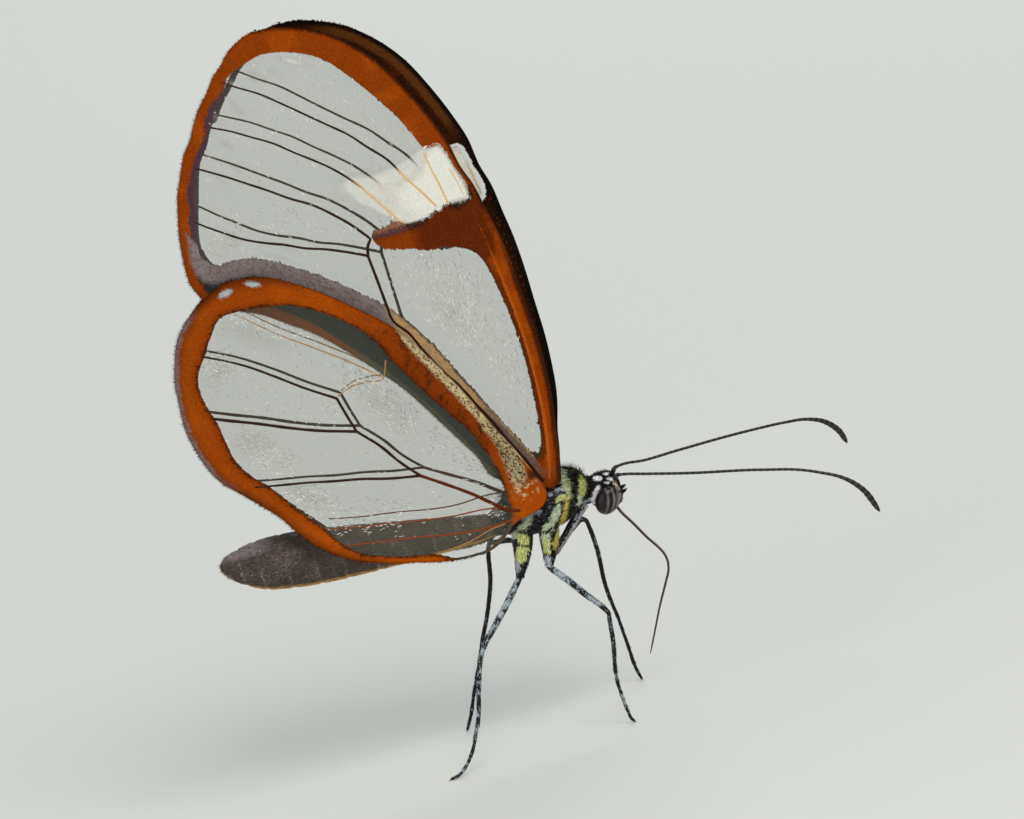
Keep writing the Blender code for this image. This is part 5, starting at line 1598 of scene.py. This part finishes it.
# Areas of longer hair as (name, slot, hairs to a square millimetre, length, lift, where)
HAIR_AREAS = (
    ("back_hair", "body_scales", 190, 0.6, 0.9,
     lambda p: (p[:, 2] > 13.0) & (p[:, 0] < 2.7) & (p[:, 0] > -1.8)),
    ("collar_hair", "pale_hair", 150, 0.42, 0.85,
     lambda p: (p[:, 0] > 1.9) & (p[:, 0] < 3.0) & (p[:, 2] > 12.2)),
    ("side_hair", "body_scales", 26, 0.34, 0.7,
     lambda p: (p[:, 0] > -2.6) & (p[:, 0] < 1.9) & (p[:, 2] < 13.0)),
    ("crown_hair", "body_scales", 110, 0.26, 0.95, lambda p: (p[:, 0] > 3.3) & (p[:, 2] > 12.45)),
    ("palp_hair", "body_scales", 90, 0.2, 0.6, lambda p: (p[:, 0] > 4.3) & (p[:, 2] < 12.0)),
    ("belly_bristles", "body_scales", 26, 0.26, 0.55, lambda p: (p[:, 0] < -3.0) & (p[:, 0] > -16.9)),
    ("tail_tuft", "pale_hair", 120, 0.34, 0.5, lambda p: p[:, 0] < -16.8),
)


class GLASSWING_OT_body(bpy.types.Operator):
    """Make the body's skin and the scales and hair over it"""

    bl_idname = "glasswing.body"
    bl_label = "Body"

    def execute(self, context):
        settings = context.scene.glasswing_body
        rng = np.random.default_rng(SEED + 20)
        skin = body_skin(SKIN_VOXEL)
        points, quads, _ = skin
        make_piece("body_skin", points, [quads], skin_finish(),
                   ["thorax", "abdomen", "head"], paint=body_paint(settings, points, np.zeros(len(points))))
        material = scale_finish("body_scales", roughness=0.5, gloss=0.15)
        length = settings.scale_length / MM
        width = settings.scale_width / MM
        for name, slot, density, long_share, wide_share, lift, keep in SCALE_AREAS:
            sizes = (length * long_share, width * wide_share, lift)
            coat_piece(name, settings, skin, material, rng, density, sizes, SCALE_LOOKS, keep)
        for name, slot, density, reach, lift, keep in HAIR_AREAS:
            sizes = (reach, 1.0, lift)
            coat_piece(name, settings, skin, material, rng, density, sizes, HAIR_LOOKS, keep)
        return {"FINISHED"}


def eye_finish(settings):
    """A glossy eye with curved bands, a darker rim, a paler front and fine facets."""
    finish = Finish("eye", Roughness=0.3, Coat_Weight=0.2, Coat_Roughness=0.08, IOR=1.4,
                    Specular_IOR_Level=0.3)
    front = finish.field("front")
    rise = finish.field("rise")
    rim = finish.field("rim")
    grain = finish.noise(3.2, detail=2.0) - 0.5
    across = front + rise * rise * 0.3 + (finish.noise(1.2, detail=1.0) - 0.5) * 0.25
    inner = across.maths("ABSOLUTE").ease(0.15, 0.03)
    outer = (across - 0.5).maths("ABSOLUTE").ease(0.13, 0.03)
    pale = (inner + outer) * (grain * 1.6 + 0.7) * (1.0 - rim.ease(0.75, 0.95))
    colour = finish.mix(pale * 0.8, settings.eye_dark, settings.eye_pale)
    colour = colour.tint(front.ease(0.5, 0.95) * 0.55, EYE_FRONT_COLOUR)
    colour = colour.tint(rise.ease(-0.72, -0.95), settings.eye_rim)
    finish.set(Base_Color=colour, Normal=finish.bump(1.0 - finish.cells(26.0), depth=0.006, strength=0.35))
    return finish.material


class GLASSWING_OT_eyes(bpy.types.Operator):
    """Make the two banded eyes"""

    bl_idname = "glasswing.eyes"
    bl_label = "Eyes"

    def execute(self, context):
        material = eye_finish(context.scene.glasswing_body)
        rows, columns = 47, 96
        across, around = np.meshgrid(np.linspace(0.0, math.pi, rows + 2)[1:-1],
                                     np.arange(columns) * 2.0 * math.pi / columns, indexing="ij")
        ball = np.stack((np.sin(across) * np.cos(around), np.cos(across),
                         np.sin(across) * np.sin(around)), -1)
        ball = np.vstack((ball.reshape(-1, 3), (0.0, 1.0, 0.0), (0.0, -1.0, 0.0)))
        quads, caps = closed_faces(rows, columns)
        fields = {"front": ball[:, 0] * 0.95 - 0.2 * ball[:, 2], "rise": ball[:, 2], "rim": 1.0 - ball[:, 1]}
        shape = ball * EYE_RADII
        shape[:, 0] += EYE_SLANT * shape[:, 2]
        for word, side in (("right", -1), ("left", 1)):
            points = head_place(mirror_line(shape + EYE_MIDDLE, side))
            make_piece(f"eye_{word}", points, [quads[:, ::-side], caps[:, ::-side]], material,
                       [f"eye_{word}"], fields)
        return {"FINISHED"}


def feeler_finish(settings):
    """A feeler: black, matt, with rings of pale specks where its parts meet."""
    finish = Finish("feeler", Roughness=0.5, Specular_IOR_Level=0.4)
    grain = finish.noise(30.0, detail=2.0)
    ring = finish.field("ring")
    finish.set(Base_Color=finish.mix(ring * grain.ease(0.45, 0.7) * 0.35, settings.feeler, settings.frost),
               Normal=finish.bump(grain, depth=0.01, strength=0.6))
    return finish.material


class GLASSWING_OT_antennae(bpy.types.Operator):
    """Make the two feelers, ringed all along and thickened to a club at the end"""

    bl_idname = "glasswing.antennae"
    bl_label = "Antennae"

    def execute(self, context):
        material = feeler_finish(context.scene.glasswing_body)
        sides = 14
        for name, knots in ANTENNA_LINES.items():
            line = smooth_line(knots, step=0.03)
            share = np.linspace(0.0, 1.0, len(line))
            ring = np.abs(np.sin(share * ANTENNA_PARTS * math.pi))
            radius = np.interp(share, (0.0, 0.02, 0.04, 0.7, 0.8, 0.88, 0.94, 0.98, 1.0),
                               (0.12, 0.13, 0.08, 0.077, 0.09, 0.14, 0.165, 0.14, 0.05))
            radius = radius * (0.9 + 0.14 * np.sqrt(ring))
            points, quads, caps, _ = make_tube(line, radius, sides)
            rings = np.append(np.repeat(1.0 - ring, sides), (0.0, 0.0))
            make_piece(name, points, [quads, caps], material, [name], {"ring": rings})
        return {"FINISHED"}


class GLASSWING_OT_proboscis(bpy.types.Operator):
    """Make the proboscis: two slim tubes side by side, bent at the elbow"""

    bl_idname = "glasswing.proboscis"
    bl_label = "Proboscis"

    def execute(self, context):
        settings = context.scene.glasswing_body
        line = smooth_line(PROBOSCIS_LINE, step=0.03)
        share = np.linspace(0.0, 1.0, len(line))
        radius = np.interp(share, (0.0, 0.05, 0.6, 0.95, 1.0), (0.085, 0.075, 0.062, 0.045, 0.02))
        radius = radius * (1.0 + 0.03 * np.sin(share * 900.0))
        parts = [make_tube(line + np.array((0.0, side, 0.0)) * (radius * 0.72)[:, None], radius, sides=14)
                 for side in (-1, 1)]
        fronts = [np.append(part[3][:, 0], (0.0, 0.0)) for part in parts]
        points, quads, caps = join_parts(parts)
        finish = Finish("proboscis", Roughness=0.38, Coat_Weight=0.15)
        grain = finish.noise(18.0, detail=2.0)
        finish.set(Base_Color=finish.mix((finish.field("front") + (grain - 0.5) * 0.5).ease(0.25, 0.8) * 0.8,
                                         settings.tongue, settings.tongue_edge),
                   Normal=finish.bump(grain, depth=0.008, strength=0.5))
        make_piece("proboscis", points, [quads, caps], finish.material, ["proboscis"],
                   {"front": np.concatenate(fronts)})
        return {"FINISHED"}


def leg_shape(name, knots):
    """A leg's path with its radius: thigh and shin swell a little, and the foot is five short parts."""
    path = smooth_line(knots, step=0.035)
    line, radius = path[:, :3], path[:, 3].copy()
    share = np.linspace(0.0, 1.0, len(path))
    if "fore" not in name:
        foot = share > TARSUS_START
        part = (share - TARSUS_START) / (1.0 - TARSUS_START) * TARSUS_PARTS
        radius[foot] *= (0.86 + 0.26 * (part - np.floor(part)))[foot]
    return line, radius, share


def leg_paint(settings, name, points, share, draw):
    """A leg's colour: black with pale specks, thicker on the thigh, pinkish grey on a foreleg, and fewer
    specks on the left, far-side legs as painted shade.
    """
    frost = 0.85 * draw + 0.55 * speckle(points, 0.3, 71) + 0.2 * ease(0.6, 0.2, share)
    # Painted shade: the left legs, on the far side, get fewer pale specks than the right legs
    far_leg_shade = 0.0 if "right" in name else 0.6
    paint = mix_paint(even_paint(points, settings.leg_black),
                      (ease(0.05 + far_leg_shade, 0.4 + far_leg_shade, frost), settings.leg_frost))
    if "fore" in name:
        below = 0.674 * (points[:, 0] - 2.2) - 0.739 * (points[:, 2] - 11.3)
        paint = mix_paint(paint, (0.9 * ease(-0.7, 0.1, draw) * ease(-0.02, 0.05, below), settings.lilac),
                          (ease(0.85, 1.0, share), settings.ochre))
    return paint


class GLASSWING_OT_legs(bpy.types.Operator):
    """Make the six legs with their scales, spines and claws"""

    bl_idname = "glasswing.legs"
    bl_label = "Legs"

    def execute(self, context):
        settings = context.scene.glasswing_body
        rng = np.random.default_rng(SEED + 40)
        skin = scale_finish("leg_skin", roughness=0.5, gloss=0.2)
        scales = scale_finish("leg_scales", roughness=0.45, gloss=0.2)
        for name, knots in LEG_LINES.items():
            path = leg_shape(name, knots)
            self.make_leg(settings, name, path, skin)
            self.cover_leg(settings, name, path, scales, rng)
        return {"FINISHED"}

    def make_leg(self, settings, name, path, skin):
        """One leg: its tube and claws."""
        line, radius, share = path
        sides = 18
        parts = [make_tube(line, radius, sides)]
        shares = [np.append(np.repeat(share, sides), (0.0, 1.0))]
        if "fore" not in name:
            tangent = unit(line[-1] - line[-4])
            side = unit(np.cross(tangent, (0.0, 0.0, 1.0)))
            for way in (-1, 1):
                reach = np.linspace(0.0, 1.0, 7)[:, None]
                claw = line[-1] + reach * 0.15 * (tangent + 0.45 * way * side) - reach ** 2 * (0.0, 0.0, 0.02)
                claw[:, 2] = np.maximum(claw[:, 2], 0.035)
                parts.append(make_tube(claw, np.linspace(0.032, 0.008, 7), sides=8))
                shares.append(np.ones(len(parts[-1][0])))
        points, quads, caps = join_parts(parts)
        paint = leg_paint(settings, name, points, np.concatenate(shares), 0.35 * speckle(points, 0.12, 72))
        make_piece(name, points, [quads, caps], skin, [name],
                   {"tone": np.ones(len(points))}, paint)

    def cover_leg(self, settings, name, path, scales, rng):
        """Flat scales all over a leg and spines along its shin and foot."""
        line, radius, share = path
        length = np.linalg.norm(np.diff(line, axis=0), axis=1).sum()
        tangent = unit(np.gradient(line, axis=0))
        blocks = []
        for kind, density in (("scale", 130.0), ("spine", 11.0)):
            count = int(density * length)
            at = rng.uniform(0.02, 0.98, count) if kind == "scale" else rng.uniform(0.4, 0.97, count)
            spot = np.column_stack([np.interp(at, share, line[:, i]) for i in range(3)])
            ahead = unit(np.column_stack([np.interp(at, share, tangent[:, i]) for i in range(3)]))
            first = unit(np.cross(ahead, (0.0, 1.0, 0.0)))
            second = np.cross(first, ahead)
            turn = rng.uniform(0.0, 2.0 * math.pi, count)
            ups = first * np.cos(turn)[:, None] + second * np.sin(turn)[:, None]
            roots = spot + ups * np.interp(at, share, radius)[:, None]
            lies = on_surface(ahead + 0.12 * rng.standard_normal(ahead.shape), ups)
            if kind == "scale":
                lengths = rng.uniform(0.08, 0.15, count)
                widths = rng.uniform(0.03, 0.05, count)
                lifts = rng.uniform(0.1, 0.35, count)
                shape, draw = (0.6, 1.0, 0.6), rng.uniform(-1.0, 1.0, count)
            else:
                lengths = rng.uniform(0.1, 0.2, count)
                widths = np.full(count, 0.02)
                lifts = rng.uniform(0.5, 0.8, count)
                shape, draw = (1.0, 0.7, 0.1), np.full(count, -1.0)
            low = roots[:, 2] + lengths * (lies[:, 2] + ups[:, 2] * lifts) < 0.03
            lifts = np.where(low, 0.02, lifts)
            points, faces = make_blades(roots, lies, ups, lengths, widths, lifts, droop=0.7, shape=shape)
            points[:, 2] = np.maximum(points[:, 2], 0.012)
            places = np.column_stack((at, turn / (2.0 * math.pi)))
            blocks.append((points, faces, leg_paint(settings, name, roots, at, draw),
                           blade_plan(UNWRAP_EDGE + UNWRAP_SPAN * places)))
        points, faces, paint, plan = zip(*blocks)
        faces = np.vstack((faces[0], faces[1] + len(points[0])))
        paint = np.vstack(paint)
        make_coat(f"{name}_scales", np.vstack(points), faces, scales, np.ones(len(paint)),
                  np.vstack(plan), paint)


class StageSettings(bpy.types.PropertyGroup):
    """The studio: floor, light and camera."""

    turn: angle_prop("Camera turn", "Turn of the camera towards the head", 3.0)
    rise: angle_prop("Camera rise", "How far the camera looks down", 12.0)
    roll: angle_prop("Camera roll", "How far the body's line rises to the right", 17.0)
    distance: length_prop("Camera distance", "From the camera to the middle of the view", 1500.0)
    view_width: length_prop("View width", "Width of the view at the middle", 55.05)
    aim_x: length_prop("Aim x", "Middle of the view along the body", 0.06)
    aim_z: length_prop("Aim z", "Middle of the view above the floor", 17.5)
    floor_size: length_prop("Floor size", "Side of the floor", 6000.0)
    floor: colour_prop("Floor", "The studio floor", 222, 224, 218)
    sky: colour_prop("Sky", "The light all round", 236, 240, 244)
    sky_strength: FloatProperty(name="Sky strength", description="Strength of the light all round",
                                min=0.0, default=0.42)


SENSOR_WIDTH = 36.0
LIGHT_TARGET = (0.0, 0.0, 18.0)
# Lights as (name, place, size, power in watts, colour)
LIGHTS = (
    ("key", (120.0, -260.0, 330.0), 220.0, 0.95, (1.0, 0.98, 0.94)),
    ("fill", (-320.0, -200.0, 120.0), 300.0, 0.35, (0.93, 0.96, 1.0)),
    ("rim", (60.0, 320.0, 260.0), 240.0, 0.5, (1.0, 1.0, 1.0)),
)


def placed(axes, place):
    """The matrix of an object with these axes, as columns, at a place."""
    return Matrix(np.column_stack((axes, place)).tolist() + [[0.0, 0.0, 0.0, 1.0]])


def aimed(place, target):
    """The matrix of a light at a place that shines at a target, both in millimetres."""
    back = unit(np.subtract(place, target).astype(float))
    right = unit(np.cross((0.0, 0.0, 1.0), back))
    return placed(np.column_stack((right, np.cross(back, right), back)), np.asarray(place) * MM)


def make_camera(settings):
    """The camera on the photographed side, rolled so that the body rises to the right."""
    az, el, roll = settings.turn, settings.rise, settings.roll
    right = np.array((math.cos(az), math.sin(az), 0.0))
    back = np.array((math.sin(az) * math.cos(el), -math.cos(az) * math.cos(el), math.sin(el)))
    up = np.cross(back, right)
    turned = np.column_stack((math.cos(roll) * right - math.sin(roll) * up,
                              math.sin(roll) * right + math.cos(roll) * up, back))
    data = bpy.data.cameras.new("camera")
    data.sensor_width = SENSOR_WIDTH
    data.lens = SENSOR_WIDTH * settings.distance / settings.view_width
    data.clip_start = 0.01
    camera = add_object("camera", data)
    aim = np.array((settings.aim_x, 0.0, settings.aim_z))
    camera.matrix_world = placed(turned, aim + settings.distance * back)
    bpy.context.scene.camera = camera


def make_floor(settings):
    """A wide plain floor."""
    half = settings.floor_size / 2.0
    mesh = bpy.data.meshes.new("floor")
    corners = [(-half, -half, 0), (half, -half, 0), (half, half, 0), (-half, half, 0)]
    mesh.from_pydata(corners, [], [(0, 1, 2, 3)])
    finish = Finish("floor", Base_Color=settings.floor, Roughness=0.9, Specular_IOR_Level=0.2)
    mesh.materials.append(finish.material)
    add_object("floor", mesh)


class GLASSWING_OT_stage(bpy.types.Operator):
    """Make the studio: floor, soft lights and the camera"""

    bl_idname = "glasswing.stage"
    bl_label = "Studio"

    def execute(self, context):
        settings = context.scene.glasswing_stage
        make_floor(settings)
        make_camera(settings)
        world = bpy.data.worlds.new("sky")
        world.use_nodes = True
        sky = world.node_tree.nodes["Background"]
        sky.inputs["Color"].default_value = (*settings.sky, 1.0)
        sky.inputs["Strength"].default_value = settings.sky_strength
        context.scene.world = world
        context.scene.view_settings.view_transform = "Standard"
        for name, place, size, power, colour in LIGHTS:
            data = bpy.data.lights.new(name, "AREA")
            data.size = size * MM
            data.energy = power
            data.color = colour
            add_object(name, data).matrix_world = aimed(place, LIGHT_TARGET)
        return {"FINISHED"}


class GLASSWING_PT_panel(bpy.types.Panel):
    """The butterfly's settings and the buttons that make its pieces"""

    bl_idname = "GLASSWING_PT_panel"
    bl_label = "Glasswing butterfly"
    bl_space_type = "VIEW_3D"
    bl_region_type = "UI"
    bl_category = "Butterfly"

    def draw(self, context):
        for group in PANEL_GROUPS:
            box = self.layout.box()
            settings = getattr(context.scene, group)
            for name in settings.bl_rna.properties.keys():
                if name not in {"rna_type", "name"}:
                    box.prop(settings, name)
        for operator in OPERATORS:
            self.layout.operator(operator.bl_idname)


PANEL_GROUPS = ("glasswing_wings", "glasswing_body", "glasswing_stage")
OPERATORS = (
    GLASSWING_OT_stage,
    GLASSWING_OT_wing_sheets,
    GLASSWING_OT_wing_veins,
    GLASSWING_OT_wing_coat,
    GLASSWING_OT_body,
    GLASSWING_OT_eyes,
    GLASSWING_OT_antennae,
    GLASSWING_OT_proboscis,
    GLASSWING_OT_legs,
)
CLASSES = (WingSettings, BodySettings, StageSettings, *OPERATORS, GLASSWING_PT_panel)


def register():
    """Register the classes and hang the settings on the scene."""
    for kind in CLASSES:
        bpy.utils.register_class(kind)
    bpy.types.Scene.glasswing_wings = PointerProperty(type=WingSettings)
    bpy.types.Scene.glasswing_body = PointerProperty(type=BodySettings)
    bpy.types.Scene.glasswing_stage = PointerProperty(type=StageSettings)


def unregister():
    """Take the settings and the classes away again."""
    for group in PANEL_GROUPS:
        delattr(bpy.types.Scene, group)
    for kind in reversed(CLASSES):
        bpy.utils.unregister_class(kind)


def main():
    """Make every piece in order."""
    register()
    for operator in OPERATORS:
        getattr(bpy.ops.glasswing, operator.bl_idname.partition(".")[2])()


if __name__ == "__main__":
    main()
